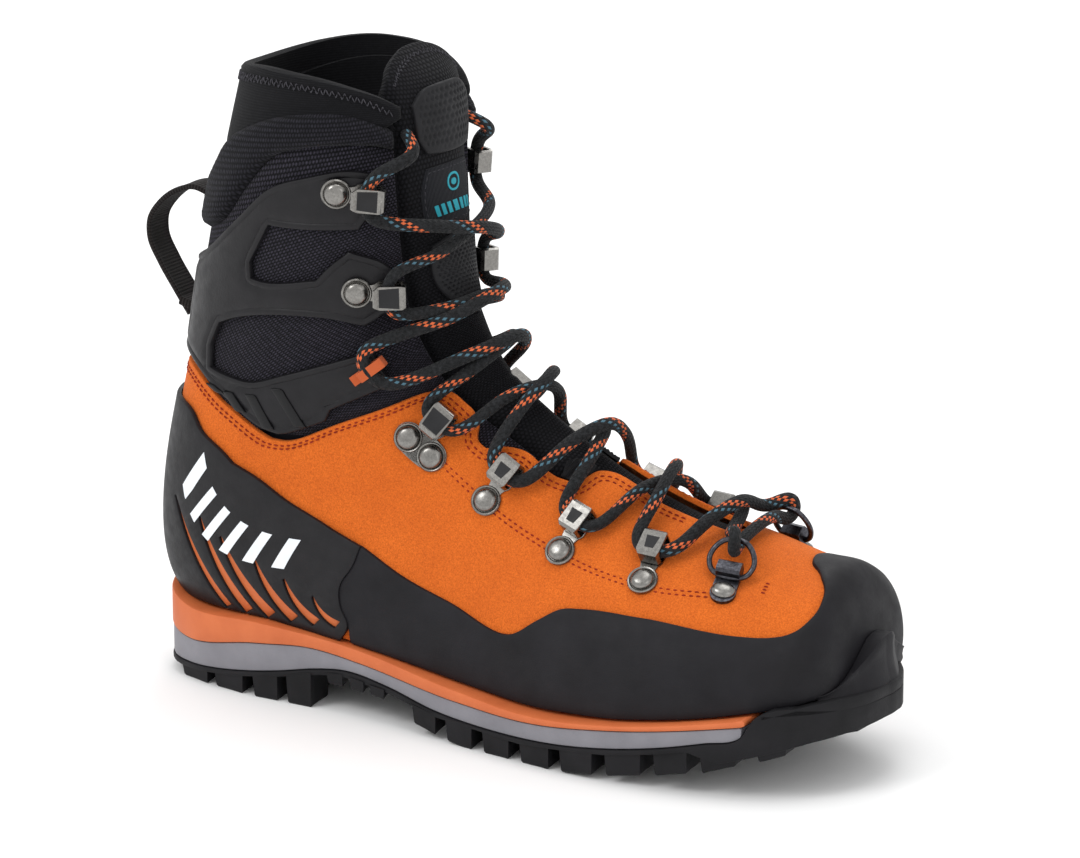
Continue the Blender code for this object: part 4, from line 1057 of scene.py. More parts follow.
def cuff():
    suede_loop = smooth_line(unrolled(SUEDE), STEP)
    suede_line = Track(last(*rolled(suede_loop)))

    def under_suede(place):
        """Lies under the suede's edge, then rises to the cuff's own depth."""
        far = suede_line.distance(place["spot"])
        around = np.array([place["flat"][:, 0] % U_LENGTH, place["flat"][:, 1]]).T
        other = around - np.array([U_LENGTH, 0])
        covered = inside(around, suede_loop) | inside(other, suede_loop)
        far = np.where(covered, -far, far)
        return -0.95 * (1 - np.clip((far + 0.5) / 4, 0, 1))
    low = ring_edge(FLEX_LOW - 14, 0.5, 0.102)
    high = [(0.100, 0.66), (0.105, 0.80), (0.105, 0.952), (0.162, 0.962), (0.228, 0.964),
            (0.28, 0.958), (0.315, 0.945), (0.355, 0.928), (0.40, 0.925), (0.5, 0.925)]

    def puff(place):
        u, v = np.minimum(place["u"], 1 - place["u"]), place["v"]
        windows = 0.0
        for centre_u, centre_v, wide_u, wide_v in ((0.215, 0.902, 0.07, 0.035),
                                                   (0.24, 0.80, 0.07, 0.045)):
            windows = windows + 0.9 * np.exp(-((u - centre_u) / wide_u) ** 4
                                             - ((v - centre_v) / wide_v) ** 4)
        wrinkle = 0.25 * np.sin(v * 210 + 5 * u) * np.exp(-((v - 0.715) / 0.03) ** 2)
        return windows + wrinkle
    finished(panel("cuff_cloth", both_sides(low + high, 0.5), -3.3, -1.75, looks["cuff"], cell=3.0,
                   radius=0.7, relief=puff, depth=under_suede),
             "ankle", ["ankle_gusset", "cuff_shell"])
    exo()
    ribs()
    collar()


def exo():
    """The moulded frame of the cuff, with a grooved border and a crease on each side of the back."""
    def relief(place):
        u, v, edge = np.minimum(place["u"], 1 - place["u"]), place["v"], place["edge"]
        within = np.clip((edge - 3) / 2, 0, 1)
        border = -0.45 * ridge(edge, 2.6, 0.5) + 0.15 * within
        crease = -0.5 * np.exp(-((u - 0.415 + (v - 0.87) * 0.2) / 0.006) ** 2) * within
        return border + crease
    outline = both_sides(EXO, 0.5)
    finished(panel("exo_frame", outline, -0.9, 1.15, looks["exo"], cell=1.7, radius=1.0,
                   relief=relief, rings=(2.1, 2.6, 3.1), corner=30), "ankle", ["exo_cage"])


def ribs():
    """Glossy slanted bars moulded low on the exo frame, on both sides of the heel."""
    first, pitch, lean = 0.226, 0.029, 0.018        # in u
    across = np.array([2.4, 0.0])                   # half a rib's width, seen from the side
    for word, side in SIDES:
        for k in range(4):
            u = first + pitch * k
            low = np.interp(u, *zip(*SUEDE_TOP)) + 0.012
            high = np.interp(u + 0.01, *zip(*WINDOW_LOW)) - 0.010
            foot, head = last(np.array([u, u + lean]), np.array([low, high]))[:, [0, 2]]
            rise = np.linspace(0, 1, 8)
            line = foot + np.outer(rise, head - foot)
            x, z = np.concatenate([line + across, (line - across)[::-1]]).T
            up = np.concatenate([rise, rise[::-1]])
            u_line, v_line = beside(x, z, u + lean * up, low + (high - low) * up)
            places = [(a if side == 1 else 1 - a, v) for a, v in zip(u_line, v_line)]
            finished(panel(f"exo_rib_{k + 1}_{word}", places, 0.6, 1.9, looks["gloss"], cell=2.2,
                           radius=0.5), "ankle")


def collar():
    def tufts(place):
        along = place["flat"][:, 0]
        return 0.1 * np.sin(along * 2 * math.pi / 2.8) * np.clip(place["edge"] / 3, 0, 1)
    roll = panel("collar_roll_cloth", both_sides(ROLL_LOW + ROLL_HIGH, 0.5), -5.0, 2.6,
                 looks["roll"], cell=1.4, radius=5.6, relief=tufts, rings=(2.4, 3.8))
    finished(roll, "cuff", ["collar_roll"])
    low = ring_edge(FLEX_LOW - 3, 0.5, 0.10)
    high = [(0.10, 0.97), (0.11, 0.982), (0.16, 0.992), (0.28, 0.997), (0.5, 0.988)]

    def depth(place):
        """Lies close to the lining low down and swells a little above the roll."""
        return 0.9 * np.clip((place["v"] - 0.96) / 0.02, 0, 1)
    finished(panel("sock_sleeve", both_sides(low + high, 0.5), -7.7, -6.1, looks["sock"], cell=3.2,
                   radius=0.6, depth=depth), "ankle", ["sock_collar"])
    hem = [(0.5, 0.955), (0.40, 0.960), (0.315, 0.972), (0.232, 0.978), (0.162, 0.977),
           (0.118, 0.970), (0.09, 0.976), (0.088, 0.986), (0.12, 0.997), (0.17, 1.006),
           (0.28, 1.012), (0.5, 1.004)]

    def band(place):
        """A turned-over band whose upper part is a little thicker."""
        edge = place["edge"]
        return 0.4 * np.exp(-((edge - 2.2) / 1.6) ** 2) - 0.25 * ridge(edge, 5.0, 0.5)
    finished(panel("collar_hem_band", both_sides(hem, 0.5), -5.3, -1.4, looks["sock"], cell=2.2,
                   radius=2.0, relief=band, rings=(4.4, 5.0, 5.6)), "cuff", ["collar_hem"])
    seam = [(0.105, 0.981), (0.14, 0.992), (0.17, 0.997), (0.28, 1.003), (0.40, 0.999),
            (0.5, 0.995), (0.60, 0.999), (0.72, 1.003), (0.83, 0.997), (0.86, 0.992),
            (0.895, 0.981)]
    stitches("hem_zigzag", [zigzag(seam, 1.6, 1.1)], "cuff", looks["dark_thread"], -1.0, pitch=2.5,
             gap=0.3, thick=0.45)


# ---- tongue ----
def tongue_depth(place):
    """High along the middle, dropping under the facing and the cuff at its sides."""
    side = np.clip((np.abs(place["u"]) - 0.084) / 0.034, 0, 1)
    return -4.3 * side * side * (3 - 2 * side)


def tongue():
    half = [(0.0, 0.215), (0.07, 0.23), (0.128, 0.28), (0.135, 0.40), (0.13, 0.66), (0.13, 0.97),
            (0.105, 1.0), (0.06, 1.035), (0.0, 1.05)]

    def folds(place):
        u, v = place["u"], place["v"]
        crease = sum(-0.8 * np.exp(-((v - at - 0.25 * u * u) / 0.004) ** 2) for at in (0.60, 0.645))
        return crease + 0.3 * np.sin(u * 90) * np.exp(-((v - 0.5) / 0.12) ** 2)
    cloth = panel("tongue_cloth", both_sides(half), -8.8, -4.4, looks["tongue"], cell=2.4,
                  radius=1.4, relief=folds, depth=tongue_depth, rings=(3.0,))
    finished(cloth, "ankle", ["tongue_lower", "tongue_upper"])
    lower = [(0.0, 0.705), (0.03, 0.72), (0.06, 0.76), (0.066, 0.80), (0.06, 0.83), (0.0, 0.838)]
    top = [(0.0, 0.937), (0.05, 0.94), (0.066, 0.955), (0.068, 0.985), (0.045, 0.998), (0.0, 1.003)]

    def dimples(place):
        """Round dimples in staggered rows, with a plain border."""
        x, y = place["flat"].T
        pitch = 3.1
        row = np.round(y / (pitch * 0.866))
        near_x = (x / pitch + row % 2 / 2) % 1 - 0.5
        near_y = y / (pitch * 0.866) - row
        far = np.hypot(near_x * pitch, near_y * pitch * 0.866)
        return -0.6 * np.exp(-(far / 0.85) ** 4) * np.clip((place["edge"] - 1.8) / 0.8, 0, 1)
    for name, node, outline in (("perforated_pad_low", "tongue_pad_lower", lower),
                                ("perforated_pad_high", "tongue_pad_top", top)):
        pad = panel(name, both_sides(outline), -4.8, -2.4, looks["pad"], cell=0.75, radius=0.9,
                    relief=dimples)
        finished(pad, "cuff", [node])
    label = [(0.0, 0.852), (0.052, 0.852), (0.058, 0.86), (0.058, 0.918), (0.052, 0.926),
             (0.0, 0.926)]
    finished(panel("label_patch", both_sides(label), -4.8, -3.9, looks["label"], cell=3.0,
                   radius=0.5), "cuff", ["tongue_label"])
    edge = smooth_line(unrolled(both_sides(label)), 1.0)
    row = shifted(edge, area_sign(edge) * 1.6)
    stitches("label_stitching", [clean(row)], "cuff", looks["dark_thread"], -3.9, thick=0.4)
    label_marks()
    brim = [(-0.088, 1.004), (-0.058, 1.024), (0.0, 1.038), (0.058, 1.024), (0.088, 1.004)]
    stitches("tongue_zigzag", [zigzag(brim, 1.5, 1.0)], "cuff", looks["dark_thread"], -4.35,
             pitch=2.4, gap=0.3, thick=0.45)


def label_marks():
    """Plain marks woven in the label: a ring round a dot, above a row of bars."""
    turn = np.linspace(0, 2 * math.pi, 25)[:-1]
    circle = np.column_stack([np.cos(turn), np.sin(turn)])
    centre = unrolled([(0.0, 0.905)])[0]
    patches = [[centre + circle * 4.2, centre + circle * 3.2], [centre + circle * 1.5]]
    for k in range(7):
        middle_bar = unrolled([(0.0, 0.876)])[0] + np.array([(k - 3) * 4.4, 0])
        bar = [middle_bar + np.array([a * 1.3 + b * 0.7, b * 3.0]) for a, b in QUAD]
        patches.append([smooth_line(np.array(bar), 1.2)])
    finished(raised_marks("label_bars", patches, 2.0, (-4.0, -3.7), looks["teal"]), "cuff")


# ---- sole ----
def smoothed(table):
    """A height table with its corners eased."""
    line = smooth_line(np.array(table, float), 2.0, closed=False, corner=60)
    return lambda at: np.interp(at, line[:, 0], line[:, 1])


def sole_loop(start, end, inset=0.0):
    """The sole's outline in plan between two x, as a closed smooth line."""
    edges = []
    for column, inward in ((1, 1), (2, -1)):
        side = np.array([(row[0], row[column] + inward * inset) for row in SOLE], float)
        side = smooth_line(side, 1.5, closed=False, corner=60)
        edges.append(side[(side[:, 0] >= start - 0.01) & (side[:, 0] <= end + 0.01)])
    return np.concatenate([edges[0], edges[1][::-1][1:]])


def layer(name, loop, low, high, finish, radius=0.8, cell=5.0):
    """A level of the sole between two heights of x, with rounded edges."""
    inward = area_sign(loop)
    ahead = np.roll(loop, -1, 0) - np.roll(loop, 1, 0)
    side = np.column_stack([-ahead[:, 1], ahead[:, 0]]) * inward
    side /= np.linalg.norm(side, axis=1, keepdims=True)
    guides = [(loop + side * d, True) for d in (radius * 0.3, radius)]
    flat, faces = triangulate([loop], cell, guides)
    far = Track(np.column_stack([loop, np.zeros(len(loop))])).distance(
        np.column_stack([flat, np.zeros(len(flat))]))
    fall = rounding(far, radius)
    bottom = np.column_stack([flat, low(flat[:, 0]) + fall])
    top = np.column_stack([flat, high(flat[:, 0]) - fall])
    points, faces, _ = closed_shell(bottom, top, faces)
    return mesh_piece(name, points, faces, finish)


def sole():
    frame_line, wedge_line, feather_line = (smoothed(t) for t in (FRAME_LOW, WEDGE_LOW, FEATHER))
    finished(layer("midsole_frame_foam", sole_loop(-155, 111.4),
                   lambda x: np.maximum(frame_line(x), wedge_line(x)) + 0.1, feather_line,
                   looks["orange_foam"], 1.0), "lower", ["midsole_frame"])
    finished(layer("midsole_wedge_foam", sole_loop(-154.6, 110.6, 0.7),
                   lambda x: wedge_line(x) + 0.1, lambda x: frame_line(x) - 0.05,
                   looks["grey_foam"], 0.6), "lower", ["midsole_wedge"])
    finished(layer("toe_welt_rubber", sole_loop(115, 143.5), lambda x: 30.7 + 0 * x, feather_line,
                   looks["outsole"], 0.9, 3.0), "lower", ["toe_welt"])
    finished(layer("outsole_plate", sole_loop(-155, 143.5), tread_line,
                   lambda x: wedge_line(x) - 0.1, looks["outsole"], 0.6), "lower", ["outsole"])
    lugs()
    bumper()


def lug_outlines():
    """The lugs in plan: a row along each edge, a bar behind the heel and chevrons between."""
    def edge_y(x, column):
        return np.interp(x, [row[0] for row in SOLE], [row[column] for row in SOLE])
    shapes = [[(-151, -13), (-151, 13), (-143, 15), (-143, -15)]]
    rows = [(-139, -126, 13), (-121, -108, 13), (-102, -92, 14), (-87, -77, 15), (-69, -63, 8),
            (-59, -53, 8), (-49, -43, 8), (-28, -18, 13), (-12, -1, 14), (5, 16, 15),
            (22, 34, 16), (40, 53, 17), (59, 72, 17), (78, 90, 16), (96, 107, 15), (115, 123, 12)]
    for start, end, reach in rows:
        for column, inward in ((1, 1), (2, -1)):
            a, b = (edge_y(x, column) + inward * 0.6 for x in (start, end))
            shapes.append([(start, a), (end, b), (end - 2, b + inward * reach),
                           (start + 2, a + inward * reach)])
    for x in (-9, 15, 39, 64, 88):
        shapes.append([(x - 8, -17), (x + 1, -20), (x + 10, -4), (x + 10, 3), (x + 1, 10),
                       (x - 8, 8), (x + 1, -3)])
    for x in (-112, -90):
        shapes.append([(x - 6, -10), (x + 4, -12), (x + 8, 0), (x + 4, 12), (x - 6, 10), (x, 0)])
    shapes.append([(127, -20), (137, -13), (138.5, 4), (135, 17), (128, 18), (127, 2)])
    return [np.array(shape, float) for shape in shapes]


def tread_line(x):
    """The rubber between the lugs: thin under the wedge, a closed wall round the toe."""
    plate, wall = heights(WEDGE_LOW)(x) - 2.2, heights(GROUND)(x) + 2.4
    share = np.clip((x - 90) / 12, 0, 1)
    return plate * (1 - share) + wall * share


def lugs():
    """Every lug as a drafted block with a chamfered foot, in one mesh."""
    points, faces = [], []
    ground_line = heights(GROUND)
    for shape in lug_outlines():
        loop = smooth_line(shape, 3.0, corner=20)
        centre = loop.mean(0)
        x = loop[:, 0]
        top = tread_line(x) + 1.2
        low = ground_line(x)
        chamfer = np.minimum(0.8, (top - low) * 0.3)
        scale = np.linalg.norm(loop - centre, axis=1)[:, None]
        rings = [(0.9, top), (0.1, low + chamfer), (-0.6, low)]
        base = len(points)
        n = len(loop)
        for grow, z in rings:
            spread = loop + (loop - centre) / scale * grow
            points.extend(np.column_stack([spread, z]).tolist())
        faces += wall(len(rings), n, base)
        _, cut = triangulate([loop], 1000.0)
        faces += [tuple(base + i for i in face) for face in cut.tolist()]
        faces += [tuple(base + 2 * n + i for i in face[::-1]) for face in cut.tolist()]
    finished(mesh_piece("outsole_lugs", points, faces, looks["outsole"], sharp=28), "lower")


def bumper():
    """The thick rubber lip that rises round the toe, hollow on its inner side."""
    centre = np.array([104.0, 5.0])
    turns = np.radians(np.linspace(-54, 48, 90))
    levels = np.linspace(34.5, 53, 12)
    v = np.linspace(0.002, 0.2, 160)

    def radii(points):
        away = np.asarray(points) - centre
        angle = np.arctan2(away[:, 1], away[:, 0])
        order = np.argsort(angle)
        return np.interp(turns, angle[order], np.hypot(*away.T)[order])
    sections = []
    edge = spine(v)
    for z in levels:
        share = (z - edge[:, 1]) / (edge[:, 3] - edge[:, 1])
        good = (share > 0.001) & (share < 0.999)
        u = np.arccos(2 * share[good] - 1) / (2 * math.pi)
        sections.append(radii(np.concatenate([last(u, v[good])[:, :2], last(-u, v[good])[:, :2]])))
    blur = np.hanning(17) / np.hanning(17).sum()
    sections = np.array([np.convolve(np.pad(row, 8, "edge"), blur, "valid") for row in sections])
    rim = radii([(row[0], row[k]) for row in SOLE for k in (1, 2) if row[0] > 90])
    lip = 36.6 + 15.2 * np.cos(turns * 1.6) ** 2
    low = 34.4
    rings = []
    for i, turn in enumerate(turns):
        ray = np.array([math.cos(turn), math.sin(turn)])
        taper = math.sin(math.pi * (i + 0.5) / len(turns)) ** 0.35

        def inner(z):
            return np.interp(z, levels, sections[:, i]) + 1.0
        low_out = max(rim[i] - 1.0, inner(low) + 2)
        high_out = max(rim[i] - 3.2, inner(lip[i]) + 2.2)
        ring = []
        for share in (0, 0.25, 0.5, 0.75, 0.93, 1.0):
            z = low + (lip[i] - low) * share
            out = low_out + (high_out - low_out) * share - 1.1 * math.sin(math.pi * share)
            out -= 0.7 * max(0, share - 0.93) / 0.07
            ring.append((inner(z) + (out - inner(z)) * taper, z))
        for share in (1.0, 0.9, 0.6, 0.3, 0):
            z = low + (lip[i] - low) * share
            ring.append((inner(z) + 0.8 * (1 - taper * 0.5), z - (0.0 if share < 1 else 0.2)))
        rings.append([(*(centre + ray * r), z) for r, z in ring])
    n, m = len(rings), len(rings[0])
    faces = [tuple(range(m)), tuple((n - 1) * m + k for k in range(m - 1, -1, -1))] + wall(n, m)
    finished(mesh_piece("toe_bumper_lip", np.concatenate(rings), faces, looks["rand"], sharp=50),
             "lower", ["toe_bumper"])


# ---- hardware ----
def soft_edged(obj, width):
    """The piece with its sharp edges bevelled."""
    edge = obj.modifiers.new("edge", "BEVEL")
    edge.width = width * MM
    edge.segments = 2
    edge.limit_method = "ANGLE"
    edge.angle_limit = EDGE_ANGLE
    return obj


def strip(name, base, outline, half_at, finish, bevel=0.22):
    """A bent metal strip: its side outline in (along, above), with a half width along it."""
    loop = smooth_line(np.array(outline, float), 0.7, corner=20)
    flat, faces = triangulate([loop], 1000.0)
    origin, along, across, above = base
    points = origin + flat[:, :1] * along + flat[:, 1:] * above
    half = across * half_at(flat[:, 0])[:, None]
    shell, shell_faces, _ = closed_shell(points - half, points + half, faces)
    return soft_edged(mesh_piece(name, shell, shell_faces, finish, sharp=40), bevel)


def turned(name, base, place, profile, finish, stretch=(1.0, 1.0), steps=40):
    """A solid turned about the axis that stands on a hardware frame at (along, across)."""
    origin, along, across, above = base
    centre = origin + along * place[0] + across * place[1]
    line = smooth_line(np.array(profile, float), 0.35, closed=False, corner=50)
    points, faces = [centre + above * line[0, 1]], []
    for radius, height in line[1:-1]:
        for k in range(steps):
            turn = 2 * math.pi * k / steps
            ray = along * math.cos(turn) * stretch[0] + across * math.sin(turn) * stretch[1]
            points.append(centre + ray * radius + above * height)
    points.append(centre + above * line[-1, 1])
    rows = len(line) - 2
    for k in range(steps):
        j = (k + 1) % steps
        faces.append((0, 1 + j, 1 + k))
        for r in range(rows - 1):
            a = 1 + r * steps
            faces.append((a + k, a + j, a + steps + j, a + steps + k))
        a = 1 + (rows - 1) * steps
        faces.append((a + k, a + j, len(points) - 1))
    return mesh_piece(name, points, faces, finish, sharp=40)


DOME = [(0, 1.0), (4.3, 1.0), (4.1, 2.3), (3.2, 3.2), (1.6, 3.65), (0, 3.75)]
HOOK = [(-5.6, 0), (16.8, 0), (17.9, 1.1), (17.9, 6.9), (16.8, 8.0), (8.0, 8.0), (6.6, 9.2),
        (6.0, 8.4), (7.4, 6.8), (16.2, 6.8), (16.7, 6.3), (16.7, 1.7), (16.2, PLATE_T),
        (-5.6, PLATE_T)]
EYELET = [(-5.6, 0), (16.8, 0), (17.9, 1.1), (17.9, 6.9), (16.8, 8.0), (8.0, 8.0), (6.9, 6.9),
          (6.9, 1.8), (8.1, 1.8), (8.1, 6.3), (8.6, 6.8), (16.2, 6.8), (16.7, 6.3),
          (16.7, 1.7), (16.2, PLATE_T), (-5.6, PLATE_T)]
CLIP = [(-4.6, 0), (10.2, 0), (11.4, 1.2), (11.4, 4.8), (10.4, 5.8), (6.8, 5.8), (5.8, 4.8),
        (5.8, 1.4), (-4.6, 1.4)]
CAP_TOP = 8.0                           # height of a hook's flat top over its plate's underside
RING_BAR = (8.6, 3.0)                   # where a ring's bar lies in its clip, along and above
RING_TILT = math.radians(27)            # how far a ring stands up from its clip's plate


def keyhole(a):
    """Half width of a plate: a disc round the rivet, a neck, then the cap."""
    disc = np.sqrt(np.clip(RIVET_PLATE_R ** 2 - a * a, 0.15, None))
    neck = np.interp(a, [3.2, 5.0, 6.6, 8.2, 16.6, 17.9], [3.0, 2.9, 3.3, 4.4, 4.4, 3.8])
    return np.where(a < 4.5, np.maximum(disc, neck * (a > 2)), neck)


def insert(name, base, outline, low, high, finish):
    """A small flat plate on a hook, from its outline in (along, across)."""
    origin, along, across, above = base
    flat, faces = triangulate([smooth_line(np.array(outline, float), 0.6, corner=50)], 1.2)
    points = origin + flat[:, :1] * along + flat[:, 1:] * across
    shell, shell_faces, _ = closed_shell(points + above * low, points + above * high, faces)
    return soft_edged(mesh_piece(name, shell, shell_faces, finish, sharp=40), 0.12)


def rim(name, base, place, finish, radius=RIVET_PLATE_R):
    """A raised ring round a rivet."""
    profile = [(0, PLATE_T - 0.3), (radius - 0.1, PLATE_T - 0.3), (radius, PLATE_T + 0.1),
               (radius - 0.35, PLATE_T + 0.55), (radius - 0.9, PLATE_T + 0.35),
               (radius - 1.2, PLATE_T + 0.02), (0, PLATE_T + 0.02)]
    return turned(name, base, place, profile, finish)


def hardware():
    metal = looks["nickel"]
    for station in STATIONS:
        name = station[0]
        for word, side in SIDES:
            base = station_frame(station, side)
            full = name + "_" + word
            body = "cuff" if "cuff_hook" in name else "lower"
            if name == "toe_clip":
                toe_clip(full, word, base)
                continue
            if name == "ankle_loop":
                slim = [(max(a, 2.5), h * 0.8) for a, h in EYELET]
                piece = strip("webbing_" + full, base, slim, lambda a: np.full(len(a), 1.9),
                              looks["orange_webbing"], 0.3)
                finished(piece, "lower", [full])
                continue
            hook = "hook" in name
            plate = strip("plate_" + full, base, HOOK if hook else EYELET, keyhole, metal)
            if name == "ankle_hook":
                wing = insert("wing_" + full, base, wing_outline(), 0.1, PLATE_T, metal)
                finished(wing, body)
                finished(plate, body, [full])
                for end, across in (("low", -5.5), ("high", 5.5)):
                    finished(turned(f"dome_ankle_{end}_{word}", base, (0, across), DOME, metal), body,
                             [f"ankle_rivet_{end}_{word}"])
                    finished(rim(f"rim_ankle_{end}_{word}", base, (0, across), metal, 5.5), body)
            else:
                finished(plate, body, [full])
                finished(turned("dome_" + full, base, (0, 0), DOME, metal), body,
                         ["rivet_" + full])
                finished(rim("rim_" + full, base, (0, 0), metal), body)
            # On every hook and eyelet, a thin black plate over the cap's top is painted shade: it
            # stands in for the shade in the groove of the metal there.
            if hook:
                shape = [(8.2, -3.4), (15.6, -3.9), (15.6, 3.9), (8.2, 3.4)]
            else:
                shape = [(9.6, -1.7), (14.6, -2.5), (14.6, 2.5), (9.6, 1.7)]
            finished(insert("groove_shade_plate_" + full, base, shape, CAP_TOP - 0.3, CAP_TOP + 0.14,
                            looks["groove_shade_paint"]), body)


def wing_outline():
    """Two round ends joined by a waist, under the ankle hook's rivets."""
    points = []
    for k in range(48):
        turn = 2 * math.pi * k / 48
        a, c = math.cos(turn), math.sin(turn)
        rivet = 5.5 if c >= 0 else -5.5
        points.append((RIVET_PLATE_R * a + 0.2, rivet + RIVET_PLATE_R * c))
    return points


def toe_clip(full, word, base):
    dark = looks["gunmetal"]

    def half_at(a):
        disc = np.sqrt(np.clip(4.7 ** 2 - a * a, 0.15, None))
        return np.where(a < 1.5, disc, 4.4)
    finished(strip("plate_" + full, base, CLIP, half_at, dark), "lower", [full])
    dome = [(0, 0.6), (3.9, 0.6), (3.9, 2.0), (3.0, 2.9), (1.5, 3.4), (0, 3.5)]
    finished(turned("dome_" + full, base, (0.4, 0), dome, looks["nickel"], (0.86, 1.12)), "lower")
    out, up = math.cos(RING_TILT), math.sin(RING_TILT)
    shape = [(0, -7.2), (0, 7.2), (3, 8.2), (7, 7.2), (10.4, 4), (11.2, 0), (10.4, -4),
             (7, -7.2), (3, -8.2)]
    flat = smooth_line(np.array(shape, float), 0.8, corner=80)
    path = np.array([in_frame(base, RING_BAR[0] + d * out, a, RING_BAR[1] + d * up)
                     for d, a in flat])
    above = -base[1] * up + base[3] * out
    ahead = np.roll(path, -1, 0) - np.roll(path, 1, 0)
    ahead /= np.linalg.norm(ahead, axis=1, keepdims=True)
    ups = np.tile(above, (len(path), 1))
    turn = np.linspace(0, 2 * math.pi, 17)[:-1]
    ring = np.column_stack([np.cos(turn), np.sin(turn)]) * D_RING_WIRE
    finished(swept("ring_" + word, path, np.cross(ahead, ups), ups, ring, dark, closed=True),
             "ring_" + word, ["d_ring_" + word])


# ---- lace and pull loop ----
def lace_route():
    """The lace's points: across the toe rings, then criss-cross to the top hooks."""
    places = np.linspace(0.15, 1.0, 500)

    def nearest_v(u, point):
        return places[np.argmin(np.linalg.norm(last(u, places) - point, axis=1))]

    def strand(side, height):
        ring = station_frame(STATIONS[0], side)
        points = [in_frame(ring, 21.5, 0, 3.2), in_frame(ring, 15.6, 0, 4.4),
                  in_frame(ring, 13.6, 0, 8.6), in_frame(ring, 18.6, 0, 12.9)]
        for station in STATIONS[1:]:
            base = station_frame(station, -side)
            start, end = points[-1], in_frame(base, LACE_T, -LACE_SPAN, LACE_N)
            for share, u, above in ((0.28, 0.065, (height + 5) / 2), (0.5, 0.0, height),
                                    (0.72, -0.065, (height + 5) / 2)):
                v = nearest_v(side * u, start + (end - start) * share)
                points.append(on_last(side * u, v, above))
            points += [end, in_frame(base, LACE_T, LACE_SPAN, LACE_N)]
            side = -side
        return points + [on_last(side * 0.086, 0.950, 5.2), on_last(side * 0.082, 0.962, -4.6)]
    return strand(1, 2.4)[::-1] + [on_last(0.0, 0.196, 3.6)] + strand(-1, 8.0)


def lace():
    path = eased(smooth_path(lace_route(), LACE_STEP), LACE_EASE)
    across, up = carried_frames(path, (0, 0, 1))
    turn = np.linspace(0, 2 * math.pi, 17)[:-1]
    ring = np.column_stack([np.cos(turn), np.sin(turn)]) * LACE_OVAL * LACE_D / 2
    finished(swept("lace_cord", path, across, up, ring, looks["lace"], sharp=80), "ankle", ["lace"])


def webbing(name, path, wide=1.0, thick=1.0):
    """A band of webbing along a path in the boot's middle plane, with a raised selvedge each side."""
    path = smooth_line(np.array(path, float), 1.2, closed=False, corner=80)
    ahead = np.gradient(path, axis=0)
    normal = np.column_stack([-ahead[:, 1], ahead[:, 0]])
    normal /= np.linalg.norm(normal, axis=1, keepdims=True)
    points = np.column_stack([path[:, 0], np.zeros(len(path)), path[:, 1]])
    ups = np.column_stack([normal[:, 0], np.zeros(len(path)), normal[:, 1]])
    across = np.tile([0.0, 1.0, 0.0], (len(path), 1))
    half = [(-6.3, -0.6), (-6.0, -1.0), (-5.2, -0.85), (5.2, -0.85), (6.0, -1.0), (6.3, -0.6),
            (6.3, 0.6), (6.0, 1.0), (5.2, 0.85), (-5.2, 0.85), (-6.0, 1.0), (-6.3, 0.6)]
    section = []
    for a, b in zip(half, half[1:] + half[:1]):
        parts = 6 if abs(a[0] - b[0]) > 5 else 1
        section += [tuple(np.array(a) + (np.array(b) - a) * k / parts) for k in range(parts)]
    section = np.array(section) * (wide, thick)
    return swept(name, points, across, ups, section, looks["webbing"], sharp=50)


def pull_loop():
    """The handle behind the cuff, and the two sewn sleeves that hold its ends on the cuff."""
    path = [(-138.4, 181.5), (-146, 183.5), (-154, 181.2), (-161.2, 175.8), (-165.8, 169),
            (-166, 162), (-161.5, 153), (-155, 143.5), (-148.6, 134.5)]
    finished(webbing("pull_loop_webbing", path), "loop", ["pull_loop"])
    for word, sleeve in (("top", SLEEVE_TOP), ("low", SLEEVE_LOW)):
        finished(webbing("pull_loop_sleeve_" + word, sleeve, 1.06, 1.7), "cuff")


# ---- what stays from the CAD, and the stage ----
def repaint():
    """Finished materials on the CAD pieces that show as they are."""
    kept = {"lining_lower": "lining", "footbed": "footbed", "insole_board": "board",
            "shank": "steel", "toe_puff": "board", "heel_counter": "board"}
    for name, look in kept.items():
        node = frame["nodes"][name]
        node.data.materials.clear()
        node.data.materials.append(looks[look])


CAMERA_TURN, CAMERA_RISE = math.radians(30.0), math.radians(15.5)
CAMERA_AWAY = 2.0                       # in metres
CAMERA_AIM = np.array([0.0, 0.0, 110.0])    # in the last's frame
LENS = 183.3                            # in millimetres, behind it a sensor 36 wide
PHOTO_WIDTH = 1080                      # in pixels


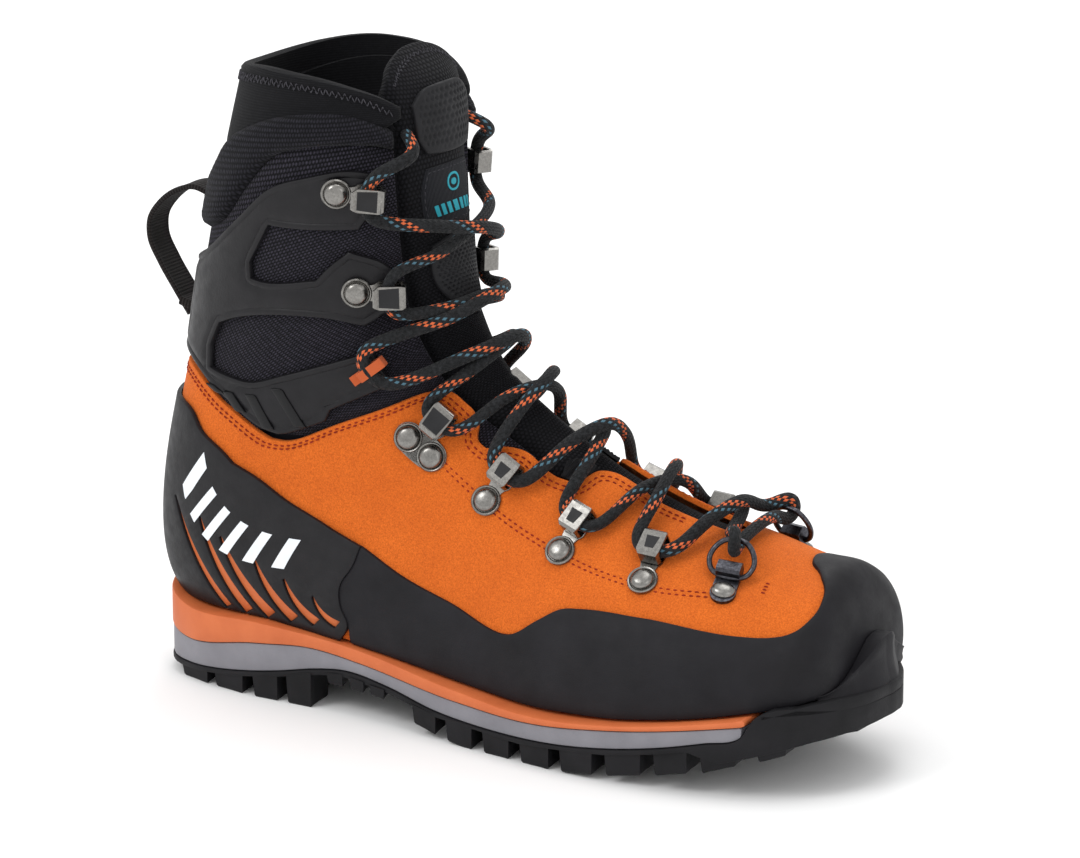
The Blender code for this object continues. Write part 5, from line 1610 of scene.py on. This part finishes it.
def camera():
    turn, rise = CAMERA_TURN, CAMERA_RISE
    target = Vector((CAMERA_AIM + SHIFT) * MM)
    offset = Vector((math.sin(turn) * math.cos(rise), -math.cos(turn) * math.cos(rise),
                     math.sin(rise))) * CAMERA_AWAY
    data = bpy.data.cameras.new("camera")
    data.lens = LENS
    data.sensor_width = 36.0
    data.shift_x = -1 / PHOTO_WIDTH
    data.shift_y = -3 / PHOTO_WIDTH
    data.clip_end = 50
    obj = bpy.data.objects.new("camera", data)
    obj.location = target + offset
    obj.rotation_euler = (-offset).to_track_quat("-Z", "Y").to_euler()
    bpy.context.scene.collection.objects.link(obj)
    bpy.context.scene.camera = obj


def light(name, place, size, power, aim=(0, 0, 0.12)):
    data = bpy.data.lights.new(name, "AREA")
    data.shape = "DISK"
    data.size = size
    data.energy = power
    obj = bpy.data.objects.new(name, data)
    obj.location = place
    obj.rotation_euler = (Vector(aim) - Vector(place)).to_track_quat("-Z", "Y").to_euler()
    bpy.context.scene.collection.objects.link(obj)
    return obj


def stage():
    world = bpy.data.worlds.new("studio")
    world.use_nodes = True
    background = world.node_tree.nodes["Background"]
    background.inputs[0].default_value = (1.0, 1.0, 1.0, 1)
    background.inputs[1].default_value = 1.0
    bpy.context.scene.world = world
    bpy.context.scene.view_settings.view_transform = "Standard"
    finish = Nodes("floor", (0.92, 0.92, 0.92), 0.9).material
    mesh = bpy.data.meshes.new("floor")
    mesh.from_pydata([(-6, -6, 0), (6, -6, 0), (6, 6, 0), (-6, 6, 0)], [], [(0, 1, 2, 3)])
    mesh.materials.append(finish)
    floor = bpy.data.objects.new("floor", mesh)
    bpy.context.scene.collection.objects.link(floor)
    lamps = [light("key", (-0.9, -1.5, 1.7), 1.0, 15), light("fill", (1.7, -1.2, 1.0), 0.9, 3),
             light("rear", (-0.6, 1.6, 1.6), 1.0, 8), light("top", (0.1, 0.1, 2.2), 1.2, 8)]


camera()
lace()
suede()
rand_and_cage()
cuff()
tongue()
sole()
hardware()
pull_loop()
repaint()
stage()
